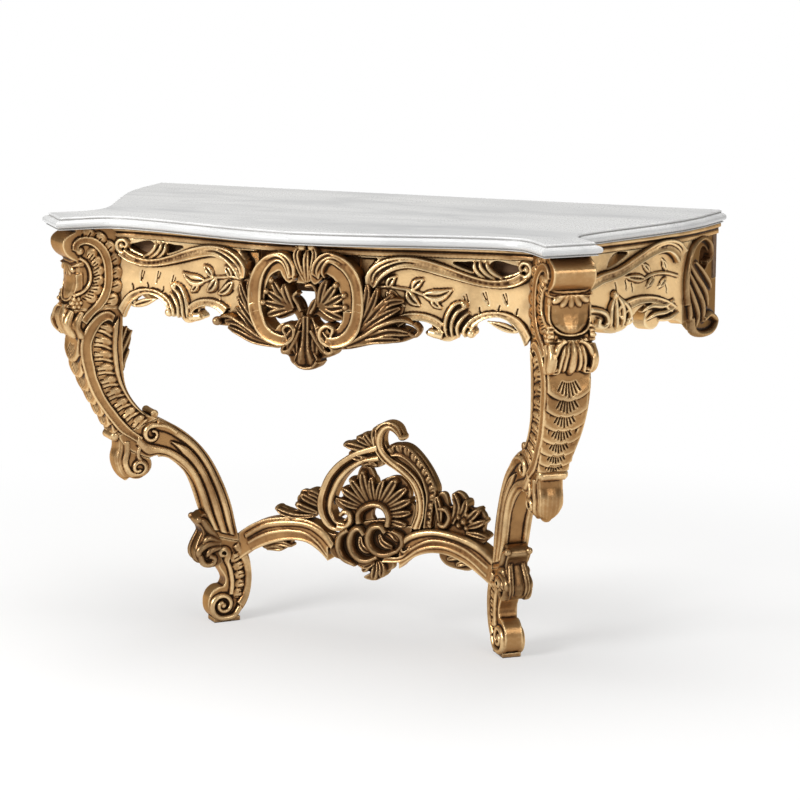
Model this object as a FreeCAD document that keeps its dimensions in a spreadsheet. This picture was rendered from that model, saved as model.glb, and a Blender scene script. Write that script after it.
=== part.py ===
import FreeCAD
import Part
import math
import os

# A two-legged pier table: a moulded marble slab on a carved giltwood frame that is fixed to a wall.
# X runs along the wall, Y towards the wall, Z up; the origin is on the floor under the middle of the slab.
# Every piece right of the middle is modelled once and mirrored to the left, apart from the crest.

doc = FreeCAD.newDocument("pier_table")

# Driving sizes: name, millimetres or degrees, and what it sets
SIZES = (
    ("table_height", 880.0, "floor to the top of the marble"),
    ("top_width", 1316.0, "marble, across its moulded edge at the wall"),
    ("top_depth", 679.0, "marble, from the wall to the front of its moulded edge"),
    ("marble_thickness", 25.0, "whole slab"),
    ("marble_nosing", 13.0, "how far the moulded edge stands out from the flat top"),
    ("marble_top_step", 5.0, "height of the upper step of the edge"),
    ("marble_nosing_height", 11.0, "height of the edge's full-width band"),
    ("cornice_height", 23.0, "gilt moulding under the marble"),
    ("cornice_lip_height", 9.0, "upper member of that moulding"),
    ("cornice_lip", 5.0, "how far the upper member stands out from the lower"),
    ("cornice_projection", 4.0, "how far the lower member stands out from the apron"),
    ("apron_thickness", 26.0, "carved boards of the apron"),
    ("apron_drop", 160.0, "front apron below the cornice"),
    ("side_drop", 212.0, "side apron below the cornice, at its rear drop"),
    ("cartouche_width", 226.0, "across the four scrolls of the front cartouche"),
    ("cartouche_drop", 226.0, "cartouche and pendant below the cornice"),
    ("cartouche_relief", 16.0, "how far the cartouche stands out from the apron"),
    ("rail_thickness", 22.0, "plain inner rails"),
    ("rail_depth", 112.0, "height of the plain inner rails"),
    ("bearer_width", 44.0, "middle bearer under the marble"),
    ("bearer_depth", 40.0, "height of the middle bearer"),
    ("wall_hole_diameter", 8.0, "holes for the wall bolts in the rear rail"),
    ("wall_hole_spacing", 600.0, "between the two wall bolts"),
    ("wall_hole_drop", 60.0, "wall bolts below the underside of the marble"),
    ("block_depth", 130.0, "corner block, along the leg's plane"),
    ("block_height", 165.0, "corner block, from the knee to the marble"),
    ("leg_reach", 410.0, "from the canted corner to the back of the foot"),
    ("leg_width", 84.0, "leg and corner block, across the leg's plane"),
    ("leg_angle", 48.4, "leg's plane, turned from the wall, in degrees"),
    ("leg_offset", 14.0, "leg's plane, outwards from the middle of the canted corner"),
    ("drop_width", 50.0, "hanging volute under the knee"),
    ("leaf_width", 46.0, "carved leaves on the leg"),
    ("plinth_length", 58.0, "foot plinth, along the leg's plane"),
    ("plinth_width", 40.0, "foot plinth, across the leg's plane"),
    ("plinth_height", 10.0, "foot plinth"),
    ("dowel_diameter", 14.0, "dowels in the leg and stretcher joints"),
    ("dowel_length", 60.0, "dowels in the leg and stretcher joints"),
    ("stretcher_rise", 235.0, "floor to the top of the stretcher's arms"),
    ("stretcher_thickness", 36.0, "stretcher arms"),
    ("boss_thickness", 46.0, "carved middle of the stretcher"),
    ("crest_height", 241.0, "crest above the stretcher's middle"),
    ("crest_base", 215.0, "floor to the foot of the crest"),
    ("crest_thickness", 30.0, "scrolls and leaves of the crest"),
    ("shell_hole_radius", 15.0, "round opening in the crest's shell"),
    ("glue_block", 48.0, "sides of the glue blocks in the rear corners"),
    ("saw_overrun", 30.0, "how far a blank runs past what it is cut against"),
)

sheet = doc.addObject("Spreadsheet::Sheet", "Sizes")
for row, (alias, value, note) in enumerate(SIZES, start=1):
    sheet.set(f"A{row}", note)
    sheet.set(f"B{row}", str(value))
    sheet.setAlias(f"B{row}", alias)
doc.recompute()


def size(alias):
    """A driving size, read from the sheet."""
    return float(sheet.get(alias))


# Sizes that follow from the driving ones
flat_half_width = size("top_width") / 2 - size("marble_nosing")
flat_depth = size("top_depth") - size("marble_nosing")
wall_y = size("top_depth") / 2
frame_top = size("table_height") - size("marble_thickness")
apron_top = frame_top - size("cornice_height")
knee_top = frame_top - size("block_height")
rear_rail_front = wall_y - size("rail_thickness")

# Plan of the flat top: shares of its half width and of its depth from the wall
MARBLE_SIDE_SHARES = [(1, 0), (0.992, 0.09), (0.98, 0.195), (0.949, 0.315), (0.891, 0.465),
                      (0.837, 0.593), (0.805, 0.683), (0.8, 0.743), (0.822, 0.796), (0.857, 0.836),
                      (0.899, 0.877)]
MARBLE_FRONT_SHARES = [(0.794, 0.983), (0.76, 0.946), (0.729, 0.913), (0.693, 0.886), (0.651, 0.877),
                       (0.589, 0.88), (0.496, 0.896), (0.388, 0.923), (0.264, 0.956), (0.14, 0.983)]
APRON_FRONT_SHARES = [(0.14, 0.901), (0.264, 0.883), (0.388, 0.856), (0.484, 0.836), (0.589, 0.821),
                      (0.651, 0.818), (0.729, 0.823), (0.77, 0.827)]
APRON_MIDDLE_SHARE = (0, 0.908)
MARBLE_MIDDLE_SHARE = (0, 1)
APRON_SIDE_SHARES = [(0.989, 0), (0.98, 0.09), (0.963, 0.195), (0.927, 0.315), (0.865, 0.465),
                     (0.806, 0.586), (0.771, 0.676), (0.746, 0.77)]

# Side view of the leg: shares of its reach from the canted corner and of the knee's height
KNEE_LOBE_SHARES = [(0.053, 1), (0.043, 0.977), (0.057, 0.947), (0.079, 0.921)]
KNEE_FRONT_SHARES = [(0.079, 0.921), (0.083, 0.885), (0.104, 0.823), (0.155, 0.754), (0.228, 0.669),
                     (0.288, 0.608)]
KNEE_BACK_SHARES = [(0.5, 0.65), (0.439, 0.665), (0.378, 0.702), (0.329, 0.753), (0.312, 0.82),
                    (0.31, 0.912), (0.317, 1)]
SHIN_HEAD_SHARES = [(0.288, 0.608), (0.317, 0.577), (0.378, 0.548), (0.454, 0.529)]
SHIN_FRONT_SHARES = [(0.454, 0.529), (0.517, 0.534), (0.585, 0.518), (0.659, 0.48), (0.712, 0.434),
                     (0.754, 0.361), (0.78, 0.302), (0.812, 0.26)]
SHIN_BACK_SHARES = [(0.939, 0.237), (0.915, 0.289), (0.893, 0.35), (0.846, 0.431), (0.768, 0.521),
                    (0.683, 0.58), (0.585, 0.625), (0.5, 0.65)]
DROP_SHARES = [(0.288, 0.608), (0.307, 0.585), (0.295, 0.535), (0.312, 0.494), (0.356, 0.47),
               (0.41, 0.464), (0.454, 0.486), (0.454, 0.529)]
FOOT_BACK_SHARES = [(0.939, 0.237), (0.983, 0.194), (1, 0.13), (0.993, 0.074), (0.956, 0.025), (0.898, 0)]
FOOT_VOLUTE_SHARES = [(0.829, 0), (0.783, 0.008), (0.762, 0.05), (0.783, 0.084), (0.845, 0.099)]
FOOT_FRONT_SHARES = [(0.845, 0.099), (0.858, 0.12), (0.824, 0.16), (0.81, 0.205), (0.812, 0.26)]
ANKLE_LEAF_SHARES = [(0.776, 0.332), (0.722, 0.331), (0.705, 0.312), (0.729, 0.289), (0.729, 0.259),
                     (0.702, 0.224), (0.712, 0.188), (0.761, 0.168), (0.841, 0.179)]
KNEE_LEAF_SHARES = [(0.3, 0.78), (0.333, 0.809), (0.346, 0.853), (0.37, 0.909), (0.358, 0.93),
                    (0.335, 0.912), (0.32, 0.88), (0.295, 0.86)]
# Front view of the leg: shares of half its width and of the knee's height
LEG_TAPER_SHARES = [(1, 1), (0.99, 0.93), (0.93, 0.81), (0.76, 0.68), (0.66, 0.6), (0.6, 0.44),
                    (0.52, 0.26), (0.46, 0.13), (0.46, 0)]
# Side view of the corner block: shares of its depth and height
BLOCK_ROLL_SHARES = [(0.254, 0.952), (0.138, 0.909), (0.054, 0.842), (0.046, 0.776), (0.092, 0.685),
                     (0.184, 0.618), (0.277, 0.588)]
BLOCK_COVE_SHARES = [(0.277, 0.588), (0.292, 0.485), (0.3, 0.333), (0.269, 0.212), (0.208, 0.121),
                     (0.177, 0)]

# Front apron, right of the middle: shares of the flat top's half width and of the drop below the cornice
WING_SPAN_SHARE = 0.729
WING_ARCH_SHARES = [(0.919, 0.875), (0.891, 0.812), (0.862, 0.706), (0.809, 0.65), (0.753, 0.662),
                    (0.713, 0.738), (0.696, 0.838)]
WING_BRACKET_SHARES = [(0.696, 0.838), (0.702, 0.912), (0.681, 0.944), (0.649, 0.894), (0.617, 0.988),
                       (0.57, 0.994), (0.536, 0.956), (0.509, 0.925), (0.532, 0.838)]
WING_INNER_ARCH_SHARES = [(0.532, 0.838), (0.521, 0.756), (0.472, 0.706), (0.419, 0.738), (0.362, 0.825),
                          (0.23, 0.887)]
WING_OUTER_HOLE_SHARES = [(0.911, 0.087), (0.855, 0.175), (0.8, 0.206), (0.764, 0.181), (0.768, 0.056),
                          (0.84, 0.044), (0.911, 0.087)]
WING_INNER_HOLE_SHARES = [(0.728, 0.175), (0.677, 0.144), (0.613, 0.056), (0.67, 0.044), (0.726, 0.05),
                          (0.728, 0.175)]

# Cartouche, right of the middle: shares of its half width and of its drop below the cornice
UPPER_SCROLL_SHARES = [
    [(1, 0.473), (0.991, 0.31), (0.903, 0.15), (0.708, 0.04), (0.487, 0.004), (0.283, 0.044), (0.159, 0.133),
     (0.159, 0.217), (0.239, 0.261)],
    [(0.239, 0.261), (0.327, 0.235), (0.416, 0.159)],
    [(0.416, 0.159), (0.593, 0.208), (0.708, 0.327), (0.743, 0.473)],
]
LOWER_SCROLL_SHARES = [
    [(1, 0.473), (0.973, 0.584), (0.876, 0.699), (0.717, 0.779), (0.513, 0.805), (0.319, 0.779)],
    [(0.319, 0.779), (0.221, 0.717), (0.248, 0.637), (0.372, 0.611), (0.478, 0.646), (0.513, 0.673)],
    [(0.513, 0.673), (0.646, 0.628), (0.726, 0.558), (0.743, 0.473)],
]
CROWN_SHARES = [(0.159, 0.265), (0.106, 0.142), (0.115, 0), (0.177, -0.062), (0.124, -0.1)]
PENDANT_SHARES = [(0, 0.575), (0.097, 0.602), (0.133, 0.673), (0.212, 0.752), (0.354, 0.805),
                  (0.469, 0.836), (0.46, 0.885), (0.327, 0.898), (0.274, 0.947), (0.15, 0.987), (0, 1)]
INNER_LEAF_SHARES = [(0.018, 0.566), (0.106, 0.597), (0.195, 0.531), (0.372, 0.571), (0.549, 0.575),
                     (0.673, 0.513), (0.796, 0.46), (0.779, 0.381), (0.602, 0.354), (0.611, 0.248),
                     (0.46, 0.27), (0.319, 0.354), (0.159, 0.398), (0.053, 0.487), (0.018, 0.566)]
SPRAY_SHARES = [(0.584, 0.814), (0.885, 0.801), (1.17, 0.765), (1.46, 0.743), (1.75, 0.726),
                (1.89, 0.681), (1.83, 0.619), (1.66, 0.584), (1.74, 0.478), (1.66, 0.327), (1.54, 0.283),
                (1.42, 0.372), (1.3, 0.323), (1.19, 0.398), (1.08, 0.363), (0.885, 0.429), (0.85, 0.628),
                (0.584, 0.814)]

# Side apron: shares of the flat top's depth from the wall and of the drop below the cornice
SIDE_FRONT_SHARE = 0.76
SIDE_LOWER_SHARES = [
    [(0.603, 0.667), (0.567, 0.705), (0.543, 0.748), (0.507, 0.752), (0.478, 0.724), (0.462, 0.667)],
    [(0.462, 0.667), (0.438, 0.59), (0.402, 0.538), (0.373, 0.543)],
    [(0.373, 0.543), (0.399, 0.619), (0.402, 0.714), (0.378, 0.776), (0.351, 0.762), (0.339, 0.676)],
    [(0.339, 0.676), (0.301, 0.714), (0.261, 0.738), (0.225, 0.79)],
]
SIDE_STEM_SHARES = [(0.225, 0.79), (0.225, 0.571), (0.209, 0.305), (0.186, 0.095), (0.177, 0)]
SIDE_HOLE_SHARES = [
    [(0.55, 0.152), (0.529, 0.035), (0.469, 0.03)],
    [(0.469, 0.03), (0.51, 0.105), (0.55, 0.152)],
]
REAR_LOWER_SHARES = [(0, 0.81), (0.013, 0.89), (0.05, 0.92), (0.115, 0.91), (0.145, 0.86), (0.175, 0.79),
                     (0.225, 0.79)]
REAR_LOOP_SHARES = [(0.13, 0.2), (0.1, 0.09), (0.07, 0.15), (0.075, 0.29), (0.105, 0.32), (0.13, 0.2)]

# Stretcher arm, right of the middle: shares of the ankle's distance from the middle and of the arm's rise
ARM_TOP_SHARES = [(1.02, 0.75), (0.943, 0.826), (0.85, 0.906), (0.733, 0.966), (0.6, 0.996), (0.467, 1),
                  (0.353, 0.966), (0.287, 0.902), (0.267, 0.826)]
ARM_LOWER_SHARES = [(0.267, 0.638), (0.307, 0.689), (0.38, 0.757), (0.473, 0.804), (0.587, 0.813),
                    (0.703, 0.774), (0.833, 0.681), (1.02, 0.5)]
ARM_LEAF_SHARES = [(0.79, 0.76), (0.787, 0.69), (0.7, 0.68), (0.593, 0.715), (0.56, 0.757), (0.567, 0.86)]
BOSS_SHARES = [
    [(-0.272, 0.898), (-0.28, 0.78), (-0.227, 0.677), (-0.129, 0.654), (-0.062, 0.627), (0.013, 0.619),
     (0.095, 0.666), (0.177, 0.704), (0.259, 0.741), (0.311, 0.802), (0.318, 0.883), (0.347, 0.959),
     (0.355, 1.031)],
    [(0.355, 1.031), (0.266, 1.029), (0.192, 1.055), (0.118, 1.055), (0.029, 1.035), (-0.038, 1.009),
     (-0.098, 0.965), (-0.166, 0.903), (-0.272, 0.898)],
]
DROP_LEAF_SHARES = [
    [(0.006, 0.685), (0.028, 0.616), (-0.009, 0.584)],
    [(-0.009, 0.584), (0.036, 0.562), (-0.01, 0.52), (0.035, 0.499), (0.11, 0.518), (0.162, 0.598)],
    [(0.162, 0.598), (0.207, 0.622), (0.192, 0.746)],
]

# Crest: shares of its half width, itself a share of the ankle's distance, and of its height above its foot
CREST_SPAN_SHARE = 0.48
RING_SHARES = [
    [(-0.214, 0.076), (-0.324, 0.026), (-0.481, 0.026), (-0.607, 0.071), (-0.685, 0.155),
     (-0.7, 0.242), (-0.667, 0.35), (-0.571, 0.487), (-0.429, 0.59), (-0.257, 0.669), (-0.086, 0.73),
     (0.131, 0.767)],
    [(0.223, 0.624), (-0.024, 0.594), (-0.211, 0.549), (-0.352, 0.472), (-0.431, 0.38),
     (-0.495, 0.289), (-0.558, 0.215), (-0.559, 0.153), (-0.496, 0.104), (-0.402, 0.087),
     (-0.308, 0.115), (-0.261, 0.153)],
]
CREST_SCROLL_SHARES = [
    [(0.622, 0.852), (0.546, 0.96), (0.408, 1.001), (0.255, 0.972), (0.162, 0.881), (0.177, 0.769),
     (0.3, 0.663), (0.5, 0.587), (0.684, 0.51), (0.776, 0.386), (0.776, 0.238), (0.7, 0.069)],
    [(0.898, 0.072), (0.944, 0.248), (0.943, 0.386), (0.852, 0.519), (0.668, 0.622), (0.469, 0.689),
     (0.362, 0.753), (0.308, 0.828), (0.332, 0.898), (0.393, 0.927), (0.485, 0.906), (0.622, 0.852)],
]
BARK_SHARES = [
    [(0.377, 0.788), (0.5, 0.816), (0.653, 0.802), (0.805, 0.758), (0.927, 0.687), (1.034, 0.598),
     (1.11, 0.49), (1.141, 0.389), (1.111, 0.257), (1.066, 0.081)],
    [(0.868, 0.07), (0.913, 0.255), (0.913, 0.385), (0.821, 0.509), (0.668, 0.613), (0.5, 0.682),
     (0.408, 0.729), (0.377, 0.788)],
]
SHELL_SHARES = [
    [(-0.121, 0.055), (-0.229, 0.163), (-0.448, 0.221), (-0.479, 0.29)],
    [(-0.479, 0.29), (-0.353, 0.297), (-0.384, 0.365)],
    [(-0.384, 0.365), (-0.275, 0.38), (-0.243, 0.452)],
    [(-0.243, 0.452), (-0.149, 0.457), (-0.102, 0.538), (0.022, 0.614), (0.13, 0.55), (0.161, 0.421)],
    [(0.161, 0.421), (0.207, 0.389), (0.254, 0.452)],
    [(0.254, 0.452), (0.362, 0.51), (0.515, 0.527), (0.653, 0.474), (0.714, 0.399), (0.699, 0.329)],
    [(0.699, 0.329), (0.791, 0.274), (0.822, 0.189), (0.745, 0.08)],
]
SHELL_HOLE_SHARE = (0.222, 0.18)
TOP_LEAF_SHARES = [
    [(0.285, 0.61), (0.099, 0.583), (-0.071, 0.609), (-0.242, 0.652)],
    [(-0.242, 0.652), (-0.241, 0.705), (-0.163, 0.735), (-0.303, 0.78)],
    [(-0.303, 0.78), (-0.179, 0.773), (-0.07, 0.8), (-0.054, 0.836)],
    [(-0.054, 0.836), (0.008, 0.886), (0.085, 0.877), (0.116, 0.844)],
    [(0.116, 0.844), (0.132, 0.905), (0.209, 0.961), (0.255, 0.903)],
]
LEFT_FOLIAGE_SHARES = [
    [(-1.515, 0.001), (-1.418, 0.051), (-1.305, 0.102), (-1.368, 0.16)],
    [(-1.368, 0.16), (-1.256, 0.158), (-1.145, 0.138), (-1.049, 0.17), (-1.064, 0.213), (-1.032, 0.286)],
    [(-1.032, 0.286), (-0.968, 0.333), (-0.857, 0.322), (-0.714, 0.365)],
    [(-0.714, 0.365), (-0.62, 0.335), (-0.589, 0.248), (-0.59, 0.16)],
    [(-0.59, 0.16), (-0.716, 0.153), (-0.875, 0.118), (-1.003, 0.057), (-1.035, 0.011)],
]
RIGHT_FOLIAGE_SHARES = [
    [(1.021, 0.07), (1.05, 0.228), (1.08, 0.385), (1.171, 0.425)],
    [(1.171, 0.425), (1.262, 0.404), (1.323, 0.312), (1.398, 0.351), (1.367, 0.435)],
    [(1.367, 0.435), (1.457, 0.445), (1.563, 0.395), (1.624, 0.321), (1.729, 0.327)],
    [(1.729, 0.327), (1.819, 0.289), (1.864, 0.223), (1.835, 0.144), (1.94, 0.099)],
    [(1.94, 0.099), (1.881, 0.052), (1.777, 0.003)],
]

NODES = {}


def keep(node, label, solids=1):
    """Records a finished piece under its label, with the number of solids that it has to hold."""
    node.Label = label
    NODES[label] = (node, solids)
    return node


def same_place(first, second):
    """Whether two points of an outline are one."""
    return math.dist(first, second) < 1e-6 * size("top_width")


def closed(runs):
    """Adds a straight run wherever one run's end is not the next one's start."""
    loop = []
    for index, run in enumerate(runs):
        loop.append(run)
        following = runs[(index + 1) % len(runs)][0]
        if not same_place(run[-1], following):
            loop.append([run[-1], following])
    return loop


def curve_through(run):
    """A line through two points, or a smooth curve through more."""
    points = [FreeCAD.Vector(across, up, 0) for across, up in run]
    if len(points) == 2:
        return Part.LineSegment(points[0], points[1])
    curve = Part.BSplineCurve()
    curve.interpolate(points)
    return curve


def origin_plane(body, role):
    """One of a body's own three planes."""
    return next(feature for feature in body.Origin.OriginFeatures if feature.Role == role)


def add_pad(body, role, loops, length, height=0, both_ways=True):
    """Adds a pad of some closed outlines to a body, its length bound to the sheet."""
    sketch = body.newObject("Sketcher::SketchObject", body.Name + "_outline")
    sketch.AttachmentSupport = [(origin_plane(body, role), "")]
    sketch.MapMode = "FlatFace"
    sketch.AttachmentOffset = FreeCAD.Placement(FreeCAD.Vector(0, 0, height), FreeCAD.Rotation())
    for runs in loops:
        for run in closed(runs):
            sketch.addGeometry(curve_through(run))
    doc.recompute()
    pad = body.newObject("PartDesign::Pad", body.Name + "_pad")
    pad.Profile = sketch
    pad.SideType = "Symmetric" if both_ways else "One side"
    pad.setExpression("Length", length)
    doc.recompute()
    return pad


def blank(name, role, loops, length, place=None, height=0, both_ways=True):
    """A board sawn to an outline: a body with one sketch and one pad."""
    body = doc.addObject("PartDesign::Body", name)
    add_pad(body, role, loops, length, height, both_ways)
    if place is not None:
        body.Placement = place
    return body


def common(name, base, tool):
    """What two blanks share, as in a board sawn from two faces."""
    node = doc.addObject("Part::Common", name)
    node.Base = base
    node.Tool = tool
    doc.recompute()
    return node


def cut(name, base, tools):
    """A piece cut to fit against each of its neighbours in turn."""
    node = base
    for tool in tools:
        step = doc.addObject("Part::Cut", name)
        step.Base = node
        step.Tool = tool
        node = step
    doc.recompute()
    return node


def mirrored(name, source):
    """The same piece on the other side of the middle."""
    node = doc.addObject("Part::Mirroring", name)
    node.Source = source
    node.Normal = FreeCAD.Vector(1, 0, 0)
    doc.recompute()
    return node


def keep_pair(node, label, solids=1):
    """Records a right-hand piece and its mirror image."""
    keep(node, label + "_right", solids)
    keep(mirrored(label + "_left", node), label + "_left", solids)
    return node


def board(name, across_x, across_y, low, height):
    """A plain board: a rectangle in plan and a height bound to the sheet."""
    corners = [(across_x[0], across_y[0]), (across_x[1], across_y[0]), (across_x[1], across_y[1])]
    sides = [[first, second] for first, second in zip(corners, corners[1:])]
    sides.append([corners[-1], (across_x[0], across_y[1])])
    return blank(name, "XY_Plane", [sides], height, height=low, both_ways=False)


def cylinder(name, radius, height, base, direction):
    """A round bar from a point along a direction, its sizes bound to the sheet."""
    node = doc.addObject("Part::Cylinder", name)
    node.setExpression("Radius", radius)
    node.setExpression("Height", height)
    turn = FreeCAD.Rotation(FreeCAD.Vector(0, 0, 1), FreeCAD.Vector(*direction))
    node.Placement = FreeCAD.Placement(FreeCAD.Vector(*base), turn)
    doc.recompute()
    return node


def group(name, members):
    """Separate solids that share one node."""
    node = doc.addObject("Part::Compound", name)
    node.Links = members
    doc.recompute()
    return node


def in_plan(share):
    """A point of the plan, from shares of the flat top."""
    return (share[0] * flat_half_width, wall_y - share[1] * flat_depth)


def across(points):
    """The same points, left of the middle and in reverse order."""
    return [(-x, y) for x, y in reversed(points)]


def moved(points, along_x, along_y):
    """Points of the plan, moved."""
    return [(x + along_x, y + along_y) for x, y in points]


def between(first, second):
    """The point halfway between two others."""
    return ((first[0] + second[0]) / 2, (first[1] + second[1]) / 2)


def offset_line(points, distance):
    """Points moved out to the left of their line, with mitred corners and the two ends kept on the wall."""
    headings = []
    for (x0, y0), (x1, y1) in zip(points, points[1:]):
        span = math.hypot(x1 - x0, y1 - y0)
        headings.append((-(y1 - y0) / span, (x1 - x0) / span))
    line = [(points[0][0] + distance, points[0][1])]
    for point, before, after in zip(points[1:-1], headings, headings[1:]):
        spread = distance / (1 + before[0] * after[0] + before[1] * after[1])
        line.append((point[0] + spread * (before[0] + after[0]), point[1] + spread * (before[1] + after[1])))
    line.append((points[-1][0] - distance, points[-1][1]))
    return line


# Marble top: three steps of one outline, the middle one widest
marble_side = [in_plan(share) for share in MARBLE_SIDE_SHARES]
marble_front = [in_plan(share) for share in MARBLE_FRONT_SHARES]
marble_front += [in_plan(MARBLE_MIDDLE_SHARE)] + across(marble_front)
marble_line = marble_side + marble_front + across(marble_side)


def marble_runs(distance):
    """Curved runs of the marble's outline, standing out by a distance from its flat top."""
    line = offset_line(marble_line, distance)
    side_end = len(marble_side)
    front_end = side_end + len(marble_front)
    return [line[:side_end], line[side_end:front_end], line[front_end:]]


marble = blank("marble_slab", "XY_Plane", [marble_runs(0)], "Sizes.marble_thickness", height=frame_top,
               both_ways=False)
nosing_foot = size("table_height") - size("marble_top_step") - size("marble_nosing_height")
nosing_runs = marble_runs(size("marble_nosing"))
add_pad(marble, "XY_Plane", [nosing_runs], "Sizes.marble_nosing_height", nosing_foot, False)
keep(marble, "marble_top")

# Leg frames: the leg's own X runs from the canted corner towards the wall
cant_outer = marble_side[-1]
cant_inner = marble_front[0]
leg_turn = FreeCAD.Rotation(FreeCAD.Vector(0, 0, 1), 180 - size("leg_angle"))
cant_middle = FreeCAD.Vector((cant_outer[0] + cant_inner[0]) / 2, (cant_outer[1] + cant_inner[1]) / 2, 0)
leg_head = cant_middle + leg_turn.multVec(FreeCAD.Vector(0, -size("leg_offset"), 0))
leg_frame = FreeCAD.Placement(leg_head, leg_turn)


def on_leg(shares):
    """Points of the leg's side view."""
    foot = size("plinth_height")
    return [(a * size("leg_reach"), foot + b * (knee_top - foot)) for a, b in shares]


def on_block(shares):
    """Points of the corner block's side view."""
    return [(a * size("block_depth"), knee_top + b * size("block_height")) for a, b in shares]


def leg_point(along, up):
    """A point of the leg's middle plane, in the table's frame."""
    return leg_frame.multVec(FreeCAD.Vector(along, 0, up))


def leg_blank(name, runs, width="Sizes.leg_width"):
    """A leg piece sawn to its side view."""
    return blank(name, "XZ_Plane", [runs], width, leg_frame)


taper = [(a * size("leg_width") / 2, b * knee_top) for a, b in LEG_TAPER_SHARES]
leg_front_view = blank("leg_front_view", "YZ_Plane", [[taper, across(taper)]], "Sizes.leg_reach * 3",
                       leg_frame)

block_front = on_block([(BLOCK_ROLL_SHARES[0][0], 1), BLOCK_ROLL_SHARES[0]])
block_back = on_block([(1, 0), (1, 1)])
block_runs = [block_front, on_block(BLOCK_ROLL_SHARES), on_block(BLOCK_COVE_SHARES), block_back]
block_blank = leg_blank("block_side_view", block_runs)

knee_blank = common("knee_blank", leg_blank("knee_side_view", [
    on_leg(KNEE_LOBE_SHARES), on_leg(KNEE_FRONT_SHARES), on_leg(KNEE_BACK_SHARES)]), leg_front_view)
shin_blank = common("shin_blank", leg_blank("shin_side_view", [
    on_leg(SHIN_HEAD_SHARES), on_leg(SHIN_FRONT_SHARES), on_leg(SHIN_BACK_SHARES)]), leg_front_view)
foot_blank = common("foot_blank", leg_blank("foot_side_view", [
    on_leg(FOOT_BACK_SHARES), on_leg(FOOT_VOLUTE_SHARES), on_leg(FOOT_FRONT_SHARES)]), leg_front_view)
drop_runs = [on_leg(DROP_SHARES), on_leg(reversed(SHIN_HEAD_SHARES))]
drop_volute = leg_blank("drop_volute", drop_runs, "Sizes.drop_width")

# Leg dowels, each square across the middle of its joint


def joint_dowel(name, first, second):
    """A dowel across the joint between two points of the leg's side view."""
    half = size("dowel_length") / 2
    span = math.dist(first, second)
    lean = ((first[1] - second[1]) / span, (second[0] - first[0]) / span)
    middle = between(first, second)
    base = leg_point(middle[0] - lean[0] * half, middle[1] - lean[1] * half)
    direction = leg_frame.Rotation.multVec(FreeCAD.Vector(lean[0], 0, lean[1]))
    return cylinder(name, "Sizes.dowel_diameter / 2", "Sizes.dowel_length", base, direction)


head_dowel = joint_dowel("head_dowel", (0, knee_top), (size("block_depth"), knee_top))
knee_dowel = joint_dowel("knee_dowel", *on_leg([KNEE_FRONT_SHARES[-1], KNEE_BACK_SHARES[0]]))
ankle_dowel = joint_dowel("ankle_dowel", *on_leg([SHIN_FRONT_SHARES[-1], SHIN_BACK_SHARES[0]]))
leg_dowels = [head_dowel, knee_dowel, ankle_dowel]
ankle = leg_point(*on_leg([SHIN_BACK_SHARES[0]])[0])


def on_stretcher(shares):
    """Points of the stretcher's outline."""
    return [(a * ankle.x, b * size("stretcher_rise")) for a, b in shares]


# The stretcher's dowel runs down the middle of the arm's sloping end
arm_start = between(*on_stretcher([ARM_TOP_SHARES[2], ARM_LOWER_SHARES[-2]]))
arm_end = between(*on_stretcher([ARM_TOP_SHARES[0], ARM_LOWER_SHARES[-1]]))
arm_slope = FreeCAD.Vector(arm_end[0] - arm_start[0], 0, arm_end[1] - arm_start[1]).normalize()
arm_middle = between(arm_start, arm_end)
arm_centre = FreeCAD.Vector(arm_middle[0], ankle.y, arm_middle[1])
arm_dowel_start = arm_centre - arm_slope * size("dowel_length") / 2
arm_dowel = cylinder("arm_dowel", "Sizes.dowel_diameter / 2", "Sizes.dowel_length", arm_dowel_start,
                     arm_slope)

# Foot plinth, under the middle of the foot scroll
foot_middle = between(*on_leg([FOOT_VOLUTE_SHARES[0], FOOT_BACK_SHARES[-1]]))[0]
plinth = doc.addObject("Part::Box", "plinth")
plinth.setExpression("Length", "Sizes.plinth_length")
plinth.setExpression("Width", "Sizes.plinth_width")
plinth.setExpression("Height", "Sizes.plinth_height")
plinth_corner = FreeCAD.Vector(foot_middle - size("plinth_length") / 2, -size("plinth_width") / 2, 0)
plinth.Placement = FreeCAD.Placement(leg_frame.multVec(plinth_corner), leg_frame.Rotation)
doc.recompute()
keep_pair(plinth, "foot_plinth")

keep_pair(cut("corner_block", block_blank, [head_dowel]), "corner_block")
keep_pair(cut("knee", knee_blank, [head_dowel, knee_dowel]), "knee_scroll")
keep_pair(cut("shin", shin_blank, [knee_dowel, ankle_dowel, arm_dowel]), "shin_scroll")
keep_pair(cut("foot", foot_blank, [ankle_dowel, arm_dowel, plinth]), "foot_scroll")
keep_pair(cut("drop_volute_cut", drop_volute, [knee_blank]), "knee_volute")
ankle_leaf_blank = leg_blank("ankle_leaf_blank", [on_leg(ANKLE_LEAF_SHARES)], "Sizes.leaf_width")
keep_pair(cut("ankle_leaf", ankle_leaf_blank, [shin_blank, foot_blank]), "ankle_leaf")
knee_leaf_blank = leg_blank("knee_leaf_blank", [on_leg(KNEE_LEAF_SHARES)], "Sizes.leaf_width")
keep_pair(cut("knee_leaf", knee_leaf_blank, [knee_blank]), "knee_leaf")
keep_pair(group("leg_dowels", leg_dowels), "leg_dowels", solids=3)
keep_pair(arm_dowel, "stretcher_dowel")

# Front apron and cartouche: plan ribbons shared with outlines seen from the front
half_front = [in_plan(APRON_MIDDLE_SHARE)] + [in_plan(share) for share in APRON_FRONT_SHARES]
full_front = across(half_front[1:]) + half_front

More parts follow.
